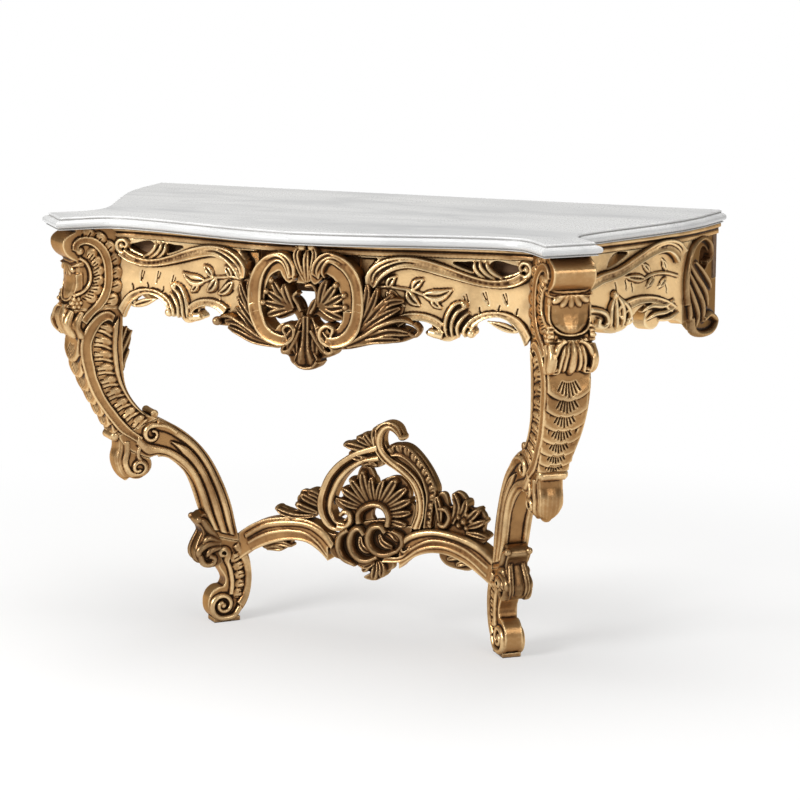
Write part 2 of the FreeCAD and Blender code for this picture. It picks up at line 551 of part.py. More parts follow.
# Front rail, behind the deepest part of the apron and between the corner blocks
rail_low = frame_top - size("rail_depth")
front_rail_face = max(y for x, y in half_front) + size("apron_thickness")
front_rail_back = front_rail_face + size("rail_thickness")
block_corner = leg_frame.multVec(FreeCAD.Vector(size("block_depth"), -size("leg_width") / 2, 0))
front_rail_half = block_corner.x
front_rail_board = board("front_rail_board", (-front_rail_half, front_rail_half),
                         (front_rail_face, front_rail_back), rail_low, "Sizes.rail_depth")
block_left = mirrored("block_blank_left", block_blank)
keep(cut("front_rail", front_rail_board, [block_blank, block_left]), "front_rail")


def front_ribbon(name, line, out, depth):
    """A board that follows the front's plan, from the floor to above the frame."""
    face = moved(line, 0, -out)
    rear = [(x, y + depth) for x, y in reversed(face)]
    return blank(name, "XY_Plane", [[face, rear]], "Sizes.table_height", both_ways=False)


apron_plan = front_ribbon("apron_plan", half_front, 0, size("apron_thickness"))
carving_depth = size("cartouche_relief") + size("apron_thickness")
carving_plan = front_ribbon("carving_plan", full_front, size("cartouche_relief"), carving_depth)


def on_wing(shares):
    """Points of the front apron's outline."""
    span = WING_SPAN_SHARE * flat_half_width
    return [(a * span, apron_top - b * size("apron_drop")) for a, b in shares]


def on_cartouche(shares):
    """Points of the cartouche's outline."""
    half = size("cartouche_width") / 2
    return [(a * half, apron_top - b * size("cartouche_drop")) for a, b in shares]


def front_outline(name, loops):
    """A front view, deep enough for any plan."""
    return blank(name + "_outline", "XZ_Plane", loops, "Sizes.top_depth * 2")


upper_outline = front_outline("upper_scroll", [[on_cartouche(run) for run in UPPER_SCROLL_SHARES]])
lower_outline = front_outline("lower_scroll", [[on_cartouche(run) for run in LOWER_SCROLL_SHARES]])
upper_outline_left = mirrored("upper_scroll_outline_left", upper_outline)
lower_outline_left = mirrored("lower_scroll_outline_left", lower_outline)
crown_side = on_cartouche(CROWN_SHARES)
crown_outline = front_outline("crown", [[crown_side, across(crown_side)]])
pendant_side = on_cartouche(PENDANT_SHARES)
pendant_outline = front_outline("pendant", [[pendant_side, across(pendant_side)]])
leaf_outline = front_outline("inner_leaf", [[on_cartouche(INNER_LEAF_SHARES)]])
spray_outline = front_outline("spray", [[on_cartouche(SPRAY_SHARES)]])

# The outlines are fitted to one another first, and each is then taken out of its plan ribbon
crown_view = cut("crown_view", crown_outline, [upper_outline, upper_outline_left])
pendant_view = cut("pendant_view", pendant_outline, [lower_outline, lower_outline_left])
leaf_view = cut("leaf_view", leaf_outline, [upper_outline, lower_outline, pendant_outline])
spray_view = cut("spray_view", spray_outline, [upper_outline, lower_outline])
keep_pair(common("upper_scroll", upper_outline, carving_plan), "cartouche_upper_scroll")
keep_pair(common("lower_scroll", lower_outline, carving_plan), "cartouche_lower_scroll")
keep(common("crown", crown_view, carving_plan), "cartouche_crown")
keep(common("pendant", pendant_view, carving_plan), "cartouche_pendant")
keep_pair(common("inner_leaf", leaf_view, carving_plan), "cartouche_leaf")
keep_pair(common("spray", spray_view, carving_plan), "acanthus_spray")

wing_lower = [on_wing(WING_ARCH_SHARES), on_wing(WING_BRACKET_SHARES), on_wing(WING_INNER_ARCH_SHARES)]
wing_end = half_front[-1][0]
wing_start = wing_lower[-1][-1][0]
wing_corner = (wing_end, wing_lower[0][0][1])
wing_outer = [[(wing_start, apron_top), (wing_end, apron_top)], [wing_corner, wing_lower[0][0]]]
wing_loops = [wing_outer + wing_lower, [on_wing(WING_OUTER_HOLE_SHARES)], [on_wing(WING_INNER_HOLE_SHARES)]]
wing_outline = front_outline("wing", wing_loops)
wing_view = cut("wing_view", wing_outline, [upper_outline, lower_outline, spray_outline])
wing_blank = common("wing_blank", wing_view, apron_plan)
keep_pair(cut("wing", wing_blank, [block_blank, front_rail_board]), "front_apron")

# Side apron and its rear panel: plan ribbons shared with outlines seen from the side
side_line = [in_plan(share) for share in APRON_SIDE_SHARES]
side_inner = [(x - size("apron_thickness"), y) for x, y in reversed(side_line)]
side_plan = blank("side_plan", "XY_Plane", [[side_line, side_inner]], "Sizes.table_height", both_ways=False)


def on_side(shares):
    """Points of the side apron's outline."""
    return [(wall_y - a * flat_depth, apron_top - b * size("side_drop")) for a, b in shares]


def side_carving(name, loops):
    """A carved piece of the side: its outline taken out of the side's plan ribbon."""
    outline = blank(name + "_outline", "YZ_Plane", loops, "Sizes.top_width * 2")
    return common(name + "_carving", outline, side_plan)


rear_rail_half = in_plan(APRON_SIDE_SHARES[0])[0]
rear_rail_blank = board("rear_rail_board", (-rear_rail_half, rear_rail_half), (rear_rail_front, wall_y),
                        rail_low, "Sizes.rail_depth")
wall_holes = []
for side in (-1, 1):
    start = (side * size("wall_hole_spacing") / 2, rear_rail_front - size("saw_overrun"),
             frame_top - size("wall_hole_drop"))
    wall_holes.append(cylinder(f"wall_hole_{side + 1}", "Sizes.wall_hole_diameter / 2",
                               "Sizes.rail_thickness + 2 * Sizes.saw_overrun", start, (0, 1, 0)))
keep(cut("rear_rail", rear_rail_blank, wall_holes), "rear_rail")

side_lower = [on_side(run) for run in SIDE_LOWER_SHARES]
side_front = wall_y - SIDE_FRONT_SHARE * flat_depth
side_outer = [[(side_front, apron_top), (side_front, side_lower[0][0][1])]]
side_blank = side_carving("side_apron", [side_outer + side_lower + [on_side(SIDE_STEM_SHARES)],
                                         [on_side(run) for run in SIDE_HOLE_SHARES]])
keep_pair(cut("side_apron", side_blank, [block_blank, front_rail_board]), "side_apron")
rear_top = on_side([(0, 0)])
rear_edge = rear_top + on_side(REAR_LOWER_SHARES[:1])
rear_runs = [rear_edge, on_side(REAR_LOWER_SHARES), on_side(SIDE_STEM_SHARES)]
rear_blank = side_carving("rear_panel", [rear_runs, [on_side(REAR_LOOP_SHARES)]])
keep_pair(cut("rear_panel", rear_blank, [rear_rail_blank]), "rear_panel")

# Cornice: a lower member and a lip that stands out from it, on the front and both sides


def cornice(name, lower_runs, lip_runs):
    """Two members of one moulding, the lip above."""
    body = doc.addObject("PartDesign::Body", name)
    add_pad(body, "XY_Plane", [lower_runs], "Sizes.cornice_height", apron_top, False)
    lip_foot = frame_top - size("cornice_lip_height")
    add_pad(body, "XY_Plane", [lip_runs], "Sizes.cornice_lip_height", lip_foot, False)
    return body


def front_moulding(out):
    """Plan of the front cornice, standing out from the apron."""
    rear = list(reversed(moved(full_front, 0, size("apron_thickness"))))
    return [moved(full_front, 0, -out), rear]


def side_moulding(out):
    """Plan of the side cornice, standing out from the apron and ending at the rear rail."""
    run = [(x + out, y) for x, y in side_line]
    return [run, side_inner]


lip_out = size("cornice_projection") + size("cornice_lip")
front_cornice = cornice("front_cornice", front_moulding(size("cornice_projection")), front_moulding(lip_out))
keep(cut("cornice_front", front_cornice, [block_blank, block_left, crown_outline]), "cornice_front")
side_cornice = cornice("side_cornice", side_moulding(size("cornice_projection")), side_moulding(lip_out))
keep_pair(cut("cornice_side", side_cornice, [block_blank, rear_rail_blank, front_rail_board]), "cornice_side")

# Middle bearer and rear glue blocks
bearer_half = size("bearer_width") / 2
bearer = board("bearer", (-bearer_half, bearer_half), (front_rail_back, rear_rail_front),
               frame_top - size("bearer_depth"), "Sizes.bearer_depth")
keep(bearer, "centre_bearer")
glue_corner = (rear_rail_half - size("apron_thickness") / 2, rear_rail_front)
glue_inner = (glue_corner[0] - size("apron_thickness") - size("glue_block"), rear_rail_front)
glue_tip = (glue_corner[0], rear_rail_front - size("glue_block"))
glue_runs = [[glue_corner, glue_inner], [glue_inner, glue_tip]]
glue_blank = blank("glue_blank", "XY_Plane", [glue_runs], "Sizes.glue_block",
                   height=apron_top - size("glue_block"), both_ways=False)
keep_pair(cut("glue_block", glue_blank, [side_plan]), "glue_block")

# Stretcher: two arms between the ankles, with the carved boss and leaves
stretcher_place = FreeCAD.Placement(FreeCAD.Vector(0, ankle.y, 0), FreeCAD.Rotation())


def on_crest(shares):
    """Points of the crest's outline."""
    span = CREST_SPAN_SHARE * ankle.x
    return [(a * span, size("crest_base") + b * size("crest_height")) for a, b in shares]


def stretcher_blank(name, loops, thickness):
    """A piece of the stretcher or crest, sawn to its front view."""
    return blank(name, "XZ_Plane", loops, thickness, stretcher_place)


arm_blank = stretcher_blank("arm_blank", [[on_stretcher(ARM_TOP_SHARES), on_stretcher(ARM_LOWER_SHARES)]],
                            "Sizes.stretcher_thickness")
arm = keep_pair(cut("arm", arm_blank, [shin_blank, foot_blank, arm_dowel]), "stretcher_arm")
arm_left = NODES["stretcher_arm_left"][0]
arm_leaf_blank = stretcher_blank("arm_leaf_blank", [[on_stretcher(ARM_LEAF_SHARES)]], "Sizes.crest_thickness")
keep_pair(cut("arm_leaf", arm_leaf_blank, [arm_blank]), "stretcher_leaf")
boss_blank = stretcher_blank("boss_blank", [[on_stretcher(run) for run in BOSS_SHARES]],
                             "Sizes.boss_thickness")
keep(cut("boss", boss_blank, [arm, arm_left]), "stretcher_boss")
drop_blank = stretcher_blank("drop_leaf_blank", [[on_stretcher(run) for run in DROP_LEAF_SHARES]],
                             "Sizes.stretcher_thickness")
keep(cut("drop_leaf", drop_blank, [boss_blank]), "stretcher_drop")


def crest_blank(name, runs):
    """A carved piece of the crest, sawn to its outline."""
    return stretcher_blank(name + "_blank", [[on_crest(run) for run in runs]], "Sizes.crest_thickness")


scroll_blank = crest_blank("scroll", CREST_SCROLL_SHARES)
ring_blank = crest_blank("ring", RING_SHARES)
bark_blank = crest_blank("bark", BARK_SHARES)
shell_blank = crest_blank("shell", SHELL_SHARES)
top_blank = crest_blank("top_leaves", TOP_LEAF_SHARES)
left_blank = crest_blank("foliage_left", LEFT_FOLIAGE_SHARES)
right_blank = crest_blank("foliage_right", RIGHT_FOLIAGE_SHARES)
arm_blank_left = mirrored("arm_blank_left", arm_blank)
shell_eye_x, shell_eye_z = on_crest([SHELL_HOLE_SHARE])[0]
shell_hole = cylinder("shell_hole", "Sizes.shell_hole_radius", "2 * Sizes.crest_thickness",
                      (shell_eye_x, ankle.y - size("crest_thickness"), shell_eye_z), (0, 1, 0))
shell_neighbours = [ring_blank, scroll_blank, top_blank, boss_blank, arm_blank, shell_hole]
keep(cut("scroll", scroll_blank, [arm_blank, boss_blank]), "crest_scroll")
keep(cut("ring", ring_blank, [arm_blank_left, boss_blank, scroll_blank]), "crest_ring")
keep(cut("bark", bark_blank, [arm_blank, scroll_blank]), "crest_bark")
keep(cut("shell", shell_blank, shell_neighbours), "crest_shell")
keep(cut("top_leaves", top_blank, [ring_blank, scroll_blank]), "crest_top_leaves")
keep(cut("foliage_left", left_blank, [arm_blank_left, ring_blank]), "crest_foliage_left")
keep(cut("foliage_right", right_blank, [arm_blank, bark_blank]), "crest_foliage_right")

# Checks, then one file for each piece
doc.recompute()
faults = [item.Label for item in doc.Objects if "Invalid" in item.State or "Error" in item.State]
for label, (node, solids) in NODES.items():
    shape = node.Shape
    if shape.isNull() or not shape.isValid() or len(shape.Solids) != solids:
        faults.append(f"{label}: {len(shape.Solids)} solids")
if faults:
    raise RuntimeError("faulty pieces: " + ", ".join(faults))
os.makedirs("parts", exist_ok=True)
for label, (node, solids) in NODES.items():
    node.Shape.exportStep(f"parts/{label}.step")
print(len(NODES), "pieces written")
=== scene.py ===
"""Pier table: a carved giltwood frame and a marble top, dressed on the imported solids.

Metres throughout. X runs along the wall, Y towards the wall and Z up. Traced points are pixels of the
photo, and are carried onto the surface of the piece they belong to through the photo's camera.
"""

import logging
import math
from dataclasses import dataclass
from enum import Enum
from typing import Iterator, Sequence

import bpy
import numpy as np
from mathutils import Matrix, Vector
from mathutils.geometry import tessellate_polygon


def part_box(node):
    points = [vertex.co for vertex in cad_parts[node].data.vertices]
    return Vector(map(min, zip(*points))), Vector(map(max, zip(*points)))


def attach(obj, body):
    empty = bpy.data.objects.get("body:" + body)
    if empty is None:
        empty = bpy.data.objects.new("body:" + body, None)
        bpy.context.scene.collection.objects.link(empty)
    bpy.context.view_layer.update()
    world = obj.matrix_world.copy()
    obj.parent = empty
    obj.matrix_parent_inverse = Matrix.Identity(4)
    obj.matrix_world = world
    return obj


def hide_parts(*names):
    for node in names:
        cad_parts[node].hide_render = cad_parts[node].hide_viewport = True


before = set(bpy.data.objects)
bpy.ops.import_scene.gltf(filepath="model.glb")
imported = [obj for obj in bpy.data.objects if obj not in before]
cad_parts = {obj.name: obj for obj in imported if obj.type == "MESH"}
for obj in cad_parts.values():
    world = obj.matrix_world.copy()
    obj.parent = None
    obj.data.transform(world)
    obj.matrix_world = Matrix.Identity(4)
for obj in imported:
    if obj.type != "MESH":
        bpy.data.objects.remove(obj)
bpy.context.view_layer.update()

LOG = logging.getLogger("pier_table")

Array = np.ndarray
Colour = tuple[float, float, float, float]
Pairs = Sequence[tuple[float, float]]
Pixels = Pairs
Spot = tuple[float, float, float]

# What one pixel of the photo measures at the apron.
PX = 0.00205
# The flat top's size in plan, and where its back edge stands.
HALF_WIDTH = 0.645
DEPTH = 0.666
WALL_Y = 0.3395
# Heights of the cornice's upper and lower edge.
FRAME_TOP = 0.855
APRON_TOP = 0.832
# How far apart the stations of a carved stroke are, and how many there may be.
STATION = 0.003
MOST_STATIONS = 160
# How far strokes go below the face they are laid on: a leg's or an apron's, a cartouche board's
# and a spray's.
SINK = 0.006
BOARD_SINK = 0.02
LEAF_SINK = 0.01
# Size of the finest carved detail that is kept, unless a piece says otherwise.
VOXEL = 0.0015
# Distances from the camera that a pixel's ray is tried at, how many, and how often the gap is then halved.
NEAR = 4.0
FAR = 6.8
TRIES = 561
HALVINGS = 24


def plan(shares: Pairs) -> Array:
    """Turns shares of the flat top's half width and depth into points of the plan."""
    table = np.asarray(shares, float)
    return np.column_stack([table[:, 0] * HALF_WIDTH, WALL_Y - table[:, 1] * DEPTH])


MARBLE_SIDE = plan([
    (1, 0), (0.992, 0.09), (0.98, 0.195), (0.949, 0.315), (0.891, 0.465), (0.837, 0.593), (0.805, 0.683),
    (0.8, 0.743), (0.822, 0.796), (0.857, 0.836), (0.899, 0.877)
])
MARBLE_FRONT = plan([
    (0.794, 0.983), (0.76, 0.946), (0.729, 0.913), (0.693, 0.886), (0.651, 0.877), (0.589, 0.88),
    (0.496, 0.896), (0.388, 0.923), (0.264, 0.956), (0.14, 0.983), (0, 1)
])
APRON_FRONT = plan([
    (0, 0.908), (0.14, 0.901), (0.264, 0.883), (0.388, 0.856), (0.484, 0.836), (0.589, 0.821),
    (0.651, 0.818), (0.729, 0.823), (0.77, 0.827)
])
APRON_SIDE = plan([
    (0.989, 0), (0.98, 0.09), (0.963, 0.195), (0.927, 0.315), (0.865, 0.465), (0.806, 0.586),
    (0.771, 0.676), (0.746, 0.77)
])


def smooth(points: Pairs | Array, count: int) -> Array:
    """Spaces points evenly along a smooth curve through some others.

    Args:
        points: Points that the curve passes through.
        count: How many points to return.

    Returns:
        The curve as rows.
    """
    knots = np.asarray(points, float)
    ends = [2 * knots[:1] - knots[1:2], knots, 2 * knots[-1:] - knots[-2:-1]]
    padded = np.vstack(ends)
    t = np.linspace(0, 1, 16, endpoint=False)[:, None]
    runs = []
    for p0, p1, p2, p3 in zip(padded, padded[1:], padded[2:], padded[3:]):
        bend = (2 * p0 - 5 * p1 + 4 * p2 - p3) * t**2 + (3 * p1 - p0 - 3 * p2 + p3) * t**3
        runs.append(0.5 * (2 * p1 + (p2 - p0) * t + bend))
    dense = np.vstack(runs + [knots[-1:]])
    marks = np.r_[0, np.cumsum(np.linalg.norm(np.diff(dense, axis=0), axis=1))]
    wanted = np.linspace(0, marks[-1], count)
    return np.column_stack([np.interp(wanted, marks, column) for column in dense.T])


def along(values: float | Sequence[float], count: int) -> Array:
    """Spreads one value, or several evenly spaced ones, over some stations."""
    table = np.atleast_1d(np.asarray(values, float))
    return np.interp(np.linspace(0, 1, count), np.linspace(0, 1, len(table)), table)


def length(line: Array) -> float:
    """Measures a line."""
    return float(np.sum(np.linalg.norm(np.diff(np.asarray(line), axis=0), axis=1)))


def millimetres(table: Pairs) -> Array:
    """Turns millimetres into metres."""
    return np.asarray(table, float) / 1000


def corners(mesh: bpy.types.Mesh) -> Array:
    """Reads a mesh's points.

    Args:
        mesh: The mesh.

    Returns:
        Its points, as rows.
    """
    places = np.empty(len(mesh.vertices) * 3)
    mesh.vertices.foreach_get("co", places)
    return places.reshape(-1, 3)


@dataclass(frozen=True)
class PhotoCamera:
    """The camera that took the photo.

    Attributes:
        focal: Focal length in pixels.
        place: Where it stands.
        yaw: Turn to the left of the wall's normal, in radians.
        pitch: Tilt below the horizon, in radians.
        centre: The picture's middle, in pixels.
        side: Width of the square picture, in pixels.
    """

    focal: float = 2624.89
    place: Spot = (2.1766, -4.7816, 1.5016)
    yaw: float = 0.4127
    pitch: float = 0.1890
    centre: float = 400.0
    side: float = 800.0

    def rays(self, pixels: Pixels | Array) -> Array:
        """Finds the direction that each pixel looks in.

        Args:
            pixels: Pixels of the photo.

        Returns:
            One direction for each pixel, as rows.
        """
        level = math.cos(self.pitch)
        sight = np.array([-math.sin(self.yaw) * level, math.cos(self.yaw) * level, -math.sin(self.pitch)])
        right = np.array([math.cos(self.yaw), math.sin(self.yaw), 0.0])
        rise = np.cross(right, sight)
        offsets = (np.asarray(pixels, float) - self.centre) / self.focal
        return sight + offsets[:, :1] * right - offsets[:, 1:] * rise

    def add(self) -> None:
        """Puts the camera in the scene."""
        data = bpy.data.cameras.new("photo_camera")
        data.sensor_width = 36.0
        data.lens = self.focal / self.side * data.sensor_width
        data.clip_end = 60.0
        camera = bpy.data.objects.new("photo_camera", data)
        camera.location = self.place
        camera.rotation_euler = (math.pi / 2 - self.pitch, 0.0, self.yaw)
        bpy.context.scene.collection.objects.link(camera)
        bpy.context.scene.camera = camera


CAMERA = PhotoCamera()


class Surface:
    """A surface that carving is laid on, with two coordinates along it and a height off it."""

    def place(self, a: Array, b: Array, h: Array) -> Array:
        """Finds points of the surface, or off it.

        Args:
            a: First coordinate.
            b: Second coordinate.
            h: Height off the surface.

        Returns:
            Points in space, as rows.
        """
        raise NotImplementedError

    def depth(self, points: Array, lift: float) -> Array:
        """Measures how far points are behind the surface, raised by a height.

        Args:
            points: Points in space, as rows.
            lift: Height of the raised surface.

        Returns:
            Distances, below nought in front of the surface.
        """
        raise NotImplementedError

    def chart(self, points: Array) -> Array:
        """Reads off the two coordinates of points.

        Args:
            points: Points in space, as rows.

        Returns:
            Coordinates, as rows.
        """
        raise NotImplementedError

    def trace(self, pixels: Pixels, lift: float = 0.0) -> Array:
        """Carries pixels of the photo onto the surface.

        Args:
            pixels: Pixels of the photo.
            lift: Height off the surface at which the pixels were seen.

        Returns:
            Coordinates on the surface, as rows.
        """
        rays = CAMERA.rays(pixels)
        start = np.array(CAMERA.place)
        reach = np.linspace(NEAR, FAR, TRIES)
        spots = start + reach[None, :, None] * rays[:, None, :]
        gaps = self.depth(spots.reshape(-1, 3), lift).reshape(len(rays), -1)
        first = np.argmax(gaps > 0, axis=1)
        low, high = reach[np.maximum(first - 1, 0)], reach[first]
        for _ in range(HALVINGS):
            middle = (low + high) / 2
            behind = self.depth(start + middle[:, None] * rays, lift) > 0
            low, high = np.where(behind, low, middle), np.where(behind, middle, high)
        return self.chart(start + low[:, None] * rays)


@dataclass(frozen=True)
class FlatSurface(Surface):
    """An upright plane along the wall: the stretcher's.

    Attributes:
        y: Where the plane stands.
    """

    y: float

    def place(self, a: Array, b: Array, h: Array) -> Array:
        """See Surface."""
        return np.column_stack([a, self.y - h, b])

    def depth(self, points: Array, lift: float) -> Array:
        """See Surface."""
        return points[:, 1] - (self.y - lift)

    def chart(self, points: Array) -> Array:
        """See Surface."""
        return points[:, [0, 2]]


class FrontSurface(Surface):
    """The front apron's curved face; coordinates are x and z."""

    def __init__(self) -> None:
        """Samples the plan."""
        self.line = smooth(APRON_FRONT, 200)
        self.slope = np.gradient(self.line[:, 1], self.line[:, 0])

    def place(self, a: Array, b: Array, h: Array) -> Array:
        """See Surface."""
        y = np.interp(np.abs(a), self.line[:, 0], self.line[:, 1])
        slope = np.interp(np.abs(a), self.line[:, 0], self.slope) * np.sign(a)
        size = np.hypot(1, slope)
        return np.column_stack([a + h * slope / size, y - h / size, b])

    def depth(self, points: Array, lift: float) -> Array:
        """See Surface."""
        return points[:, 1] - np.interp(np.abs(points[:, 0]), self.line[:, 0], self.line[:, 1]) + lift

    def chart(self, points: Array) -> Array:
        """See Surface."""
        return points[:, [0, 2]]


class SideSurface(Surface):
    """The right side apron's curved face; coordinates are y and z."""

    def __init__(self) -> None:
        """Samples the plan."""
        self.line = smooth(APRON_SIDE, 200)[::-1]
        self.slope = np.gradient(self.line[:, 0], self.line[:, 1])

    def place(self, a: Array, b: Array, h: Array) -> Array:
        """See Surface."""
        x = np.interp(a, self.line[:, 1], self.line[:, 0])
        slope = np.interp(a, self.line[:, 1], self.slope)
        size = np.hypot(1, slope)
        return np.column_stack([x + h / size, a - h * slope / size, b])

    def depth(self, points: Array, lift: float) -> Array:
        """See Surface."""
        return np.interp(points[:, 1], self.line[:, 1], self.line[:, 0]) + lift - points[:, 0]

    def chart(self, points: Array) -> Array:
        """See Surface."""
        return points[:, 1:]


@dataclass(frozen=True)
class LegFrame:
    """The left leg's upright plane, from the canted corner back towards the wall.

    Attributes:
        head: The canted corner in plan.
        along: Direction in plan from the corner to the wall.
        half: Half of the leg's width at the knee.
    """

    head: tuple[float, float] = (-0.5565, -0.2706)
    along: tuple[float, float] = (0.6639, 0.7478)
    half: float = 0.042

    def at(self, u: Array, v: Array, z: Array) -> Array:
        """Finds points by distance back, distance to the side that faces the camera, and height."""
        (ux, uy), (x, y) = self.along, self.head
        return np.column_stack([x + u * ux + v * uy, y + u * uy - v * ux, z])

    def plan(self, points: Array) -> tuple[Array, Array]:
        """Measures points in the leg's own plan.

        Args:
            points: Points in space, as rows.

        Returns:
            Distances back from the canted corner, and to the side that faces the camera.
        """
        (ux, uy), (x, y) = self.along, self.head
        east, north = points[:, 0] - x, points[:, 1] - y
        return east * ux + north * uy, east * uy - north * ux

    def width(self, z: Array) -> Array:
        """Finds half of the leg's width.

        Args:
            z: Height.

        Returns:
            Half widths.
        """
        heights = np.array([0, 0.09, 0.18, 0.304, 0.414, 0.469, 0.559, 0.642, 0.69])
        shares = np.array([0.46, 0.46, 0.52, 0.6, 0.66, 0.76, 0.93, 0.99, 1.0])
        return self.half * np.interp(z, heights, shares)

    def reach(self, node: str) -> float:
        """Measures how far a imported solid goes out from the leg's middle plane."""
        return float(np.abs(self.plan(corners(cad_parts[node].data))[1]).max())


LEG = LegFrame()


@dataclass(frozen=True)
class LegSide(Surface):
    """One side face of the left leg; coordinates are the distance back and the height.

    Attributes:
        sign: 1 for the side that faces the camera, -1 for the other.
        half: Half of a fixed width, or nought to follow the leg's taper.
    """

    sign: int = 1
    half: float = 0.0

    def place(self, a: Array, b: Array, h: Array) -> Array:
        """See Surface."""
        return LEG.at(a, self.sign * (self.face(b) + h), b)

    def face(self, z: Array) -> Array:
        """Finds how far the face is from the leg's middle plane."""
        return np.full_like(np.asarray(z, float), self.half) if self.half else LEG.width(z)

    def depth(self, points: Array, lift: float) -> Array:
        """See Surface."""
        return self.face(points[:, 2]) + lift - self.sign * LEG.plan(points)[1]

    def chart(self, points: Array) -> Array:
        """See Surface."""
        return np.column_stack([LEG.plan(points)[0], points[:, 2]])


class LegFront(Surface):
    """The left leg's canted face along a line of its side view; coordinates run across and down it."""

    def __init__(self, line: Pairs) -> None:
        """Samples the line.

        Args:
            line: Points of the side view in millimetres, from the top down, as distance back and height.
        """
        self.line = smooth(millimetres(line), 160)
        step = np.gradient(self.line, axis=0)
        step /= np.linalg.norm(step, axis=1)[:, None]
        self.normal = np.column_stack([step[:, 1], -step[:, 0]])
        self.length = length(self.line)

    def place(self, a: Array, b: Array, h: Array) -> Array:
        """See Surface."""
        marks = np.linspace(0, self.length, len(self.line))
        u, z = (np.interp(b, marks, column) for column in self.line.T)
        nu, nz = (np.interp(b, marks, column) for column in self.normal.T)
        return LEG.at(u + h * nu, a, z + h * nz)

    def depth(self, points: Array, lift: float) -> Array:
        """See Surface."""
        heights = self.line[::-1, 1]
        gap = LEG.plan(points)[0] - np.interp(points[:, 2], heights, self.line[::-1, 0])
        return lift - gap * np.interp(points[:, 2], heights, self.normal[::-1, 0])

    def chart(self, points: Array) -> Array:
        """See Surface."""
        marks = np.linspace(self.length, 0, len(self.line))
        return np.column_stack([LEG.plan(points)[1], np.interp(points[:, 2], self.line[::-1, 1], marks)])

    def mark(self, height: float) -> float:
        """Finds how far down the line a height is."""
        below = int(np.argmax(self.line[:, 1] <= height))
        return self.length * below / (len(self.line) - 1)

    def height(self, mark: float) -> float:
        """Finds the height at a distance down the line."""
        return float(np.interp(mark, np.linspace(0, self.length, len(self.line)), self.line[:, 1]))


class Profile(Enum):
    """Cross-sections of a carved stroke: places across it and shares of its height."""

    ROUND = tuple((0.5 - 0.5 * math.cos(t), math.sin(t)) for t in np.linspace(0, math.pi, 9))
    HOLLOW = (
        (0, 0), (0.0, 0.72), (0.04, 0.95), (0.09, 1), (0.15, 0.96), (0.24, 0.8), (0.36, 0.72), (0.5, 0.7),
        (0.64, 0.72), (0.76, 0.8), (0.85, 0.96), (0.91, 1), (0.96, 0.95), (1, 0.72), (1, 0)
    )
    BAND = (
        (0, 0), (0, 0.55), (0.07, 0.8), (0.14, 0.75), (0.2, 0.5), (0.27, 0.8), (0.4, 0.96), (0.5, 1),
        (0.6, 0.96), (0.73, 0.8), (0.8, 0.5), (0.86, 0.75), (0.93, 0.8), (1, 0.55), (1, 0)
    )
    GROOVE = (
        (0, 0), (0, 0.7), (0.08, 0.97), (0.2, 1), (0.34, 0.9), (0.42, 0.3), (0.5, 0.05), (0.6, 0.1),
        (0.66, 0.6), (0.78, 0.85), (0.9, 0.8), (1, 0.45), (1, 0)
    )
    SPOON = (
        (0, 0), (0, 0.4), (0.05, 0.74), (0.14, 0.96), (0.24, 1), (0.36, 0.9), (0.45, 0.78), (0.5, 0.72),
        (0.55, 0.78), (0.64, 0.9), (0.76, 1), (0.86, 0.96), (0.95, 0.74), (1, 0.4), (1, 0)
    )
    STEP = ((0, 0), (0.2, 0.1), (0.45, 0.4), (0.68, 0.8), (0.84, 1), (0.95, 0.95), (1, 0.7), (1, 0))
    CORNICE = (
        (0, 0.3), (0.05, 0.45), (0.22, 0.55), (0.36, 0.45), (0.4, 0.1), (0.5, 0.08), (0.54, 0.6),
        (0.6, 0.85), (0.75, 1), (0.92, 0.95), (1, 0.85)
    )


@dataclass(frozen=True)
class Cut:
    """A fine line, or a whole field, that is cut into a finished skin.

    Attributes:
        surface: What the cut is laid on.
        line: The line, or the field's outline, as coordinates of the surface.
        width: The line's width, or nought for a field.
        deep: The line's depth, or how far below the surface the field lies.
        lowest: Height off the surface above which points are cut.
        highest: Height off the surface below which points are cut.
        probe: Step that the surface's normal is measured with.
    """

    surface: Surface
    line: Array
    width: float
    deep: float
    lowest: float = -0.008
    highest: float = 0.03
    probe: float = 0.001

    def sink(self, places: Array) -> None:
        """Moves the points under the cut.

        Args:
            places: Points of the skin, as rows, changed in place.
        """
        off = -self.surface.depth(places, 0.0)
        spots = self.surface.chart(places)
        low, high = self.line.min(axis=0) - self.width, self.line.max(axis=0) + self.width
        inside = np.all((spots > low) & (spots < high), axis=1)
        near = np.flatnonzero(inside & (off > self.lowest) & (off < self.highest))
        if not len(near):
            return
        here, rise = spots[near], off[near]
        a, b = here.T
        inwards = self.surface.place(a, b, rise - self.probe) - self.surface.place(a, b, rise)
        if self.width:
            gaps = np.linalg.norm(here[:, None, :] - self.line[None, :, :], axis=2).min(axis=1)
            depth = self.deep * np.clip(1 - gaps / (self.width / 2), 0, 1)
        else:
            depth = np.where(self.holds(here), np.maximum(rise + self.deep, 0), 0)
        places[near] += inwards * (depth / self.probe)[:, None]

    def holds(self, spots: Array) -> Array:
        """Tells which places lie inside the outline.

        Args:
            spots: Coordinates of the surface, as rows.

        Returns:
            One truth value for each place.
        """
        inside = np.zeros(len(spots), bool)
        for start, end in zip(self.line, np.roll(self.line, -1, axis=0)):
            crosses = (start[1] > spots[:, 1]) != (end[1] > spots[:, 1])
            slope = (end[0] - start[0]) / (end[1] - start[1] + 1e-12)
            inside ^= crosses & (spots[:, 0] < start[0] + slope * (spots[:, 1] - start[1]))
        return inside


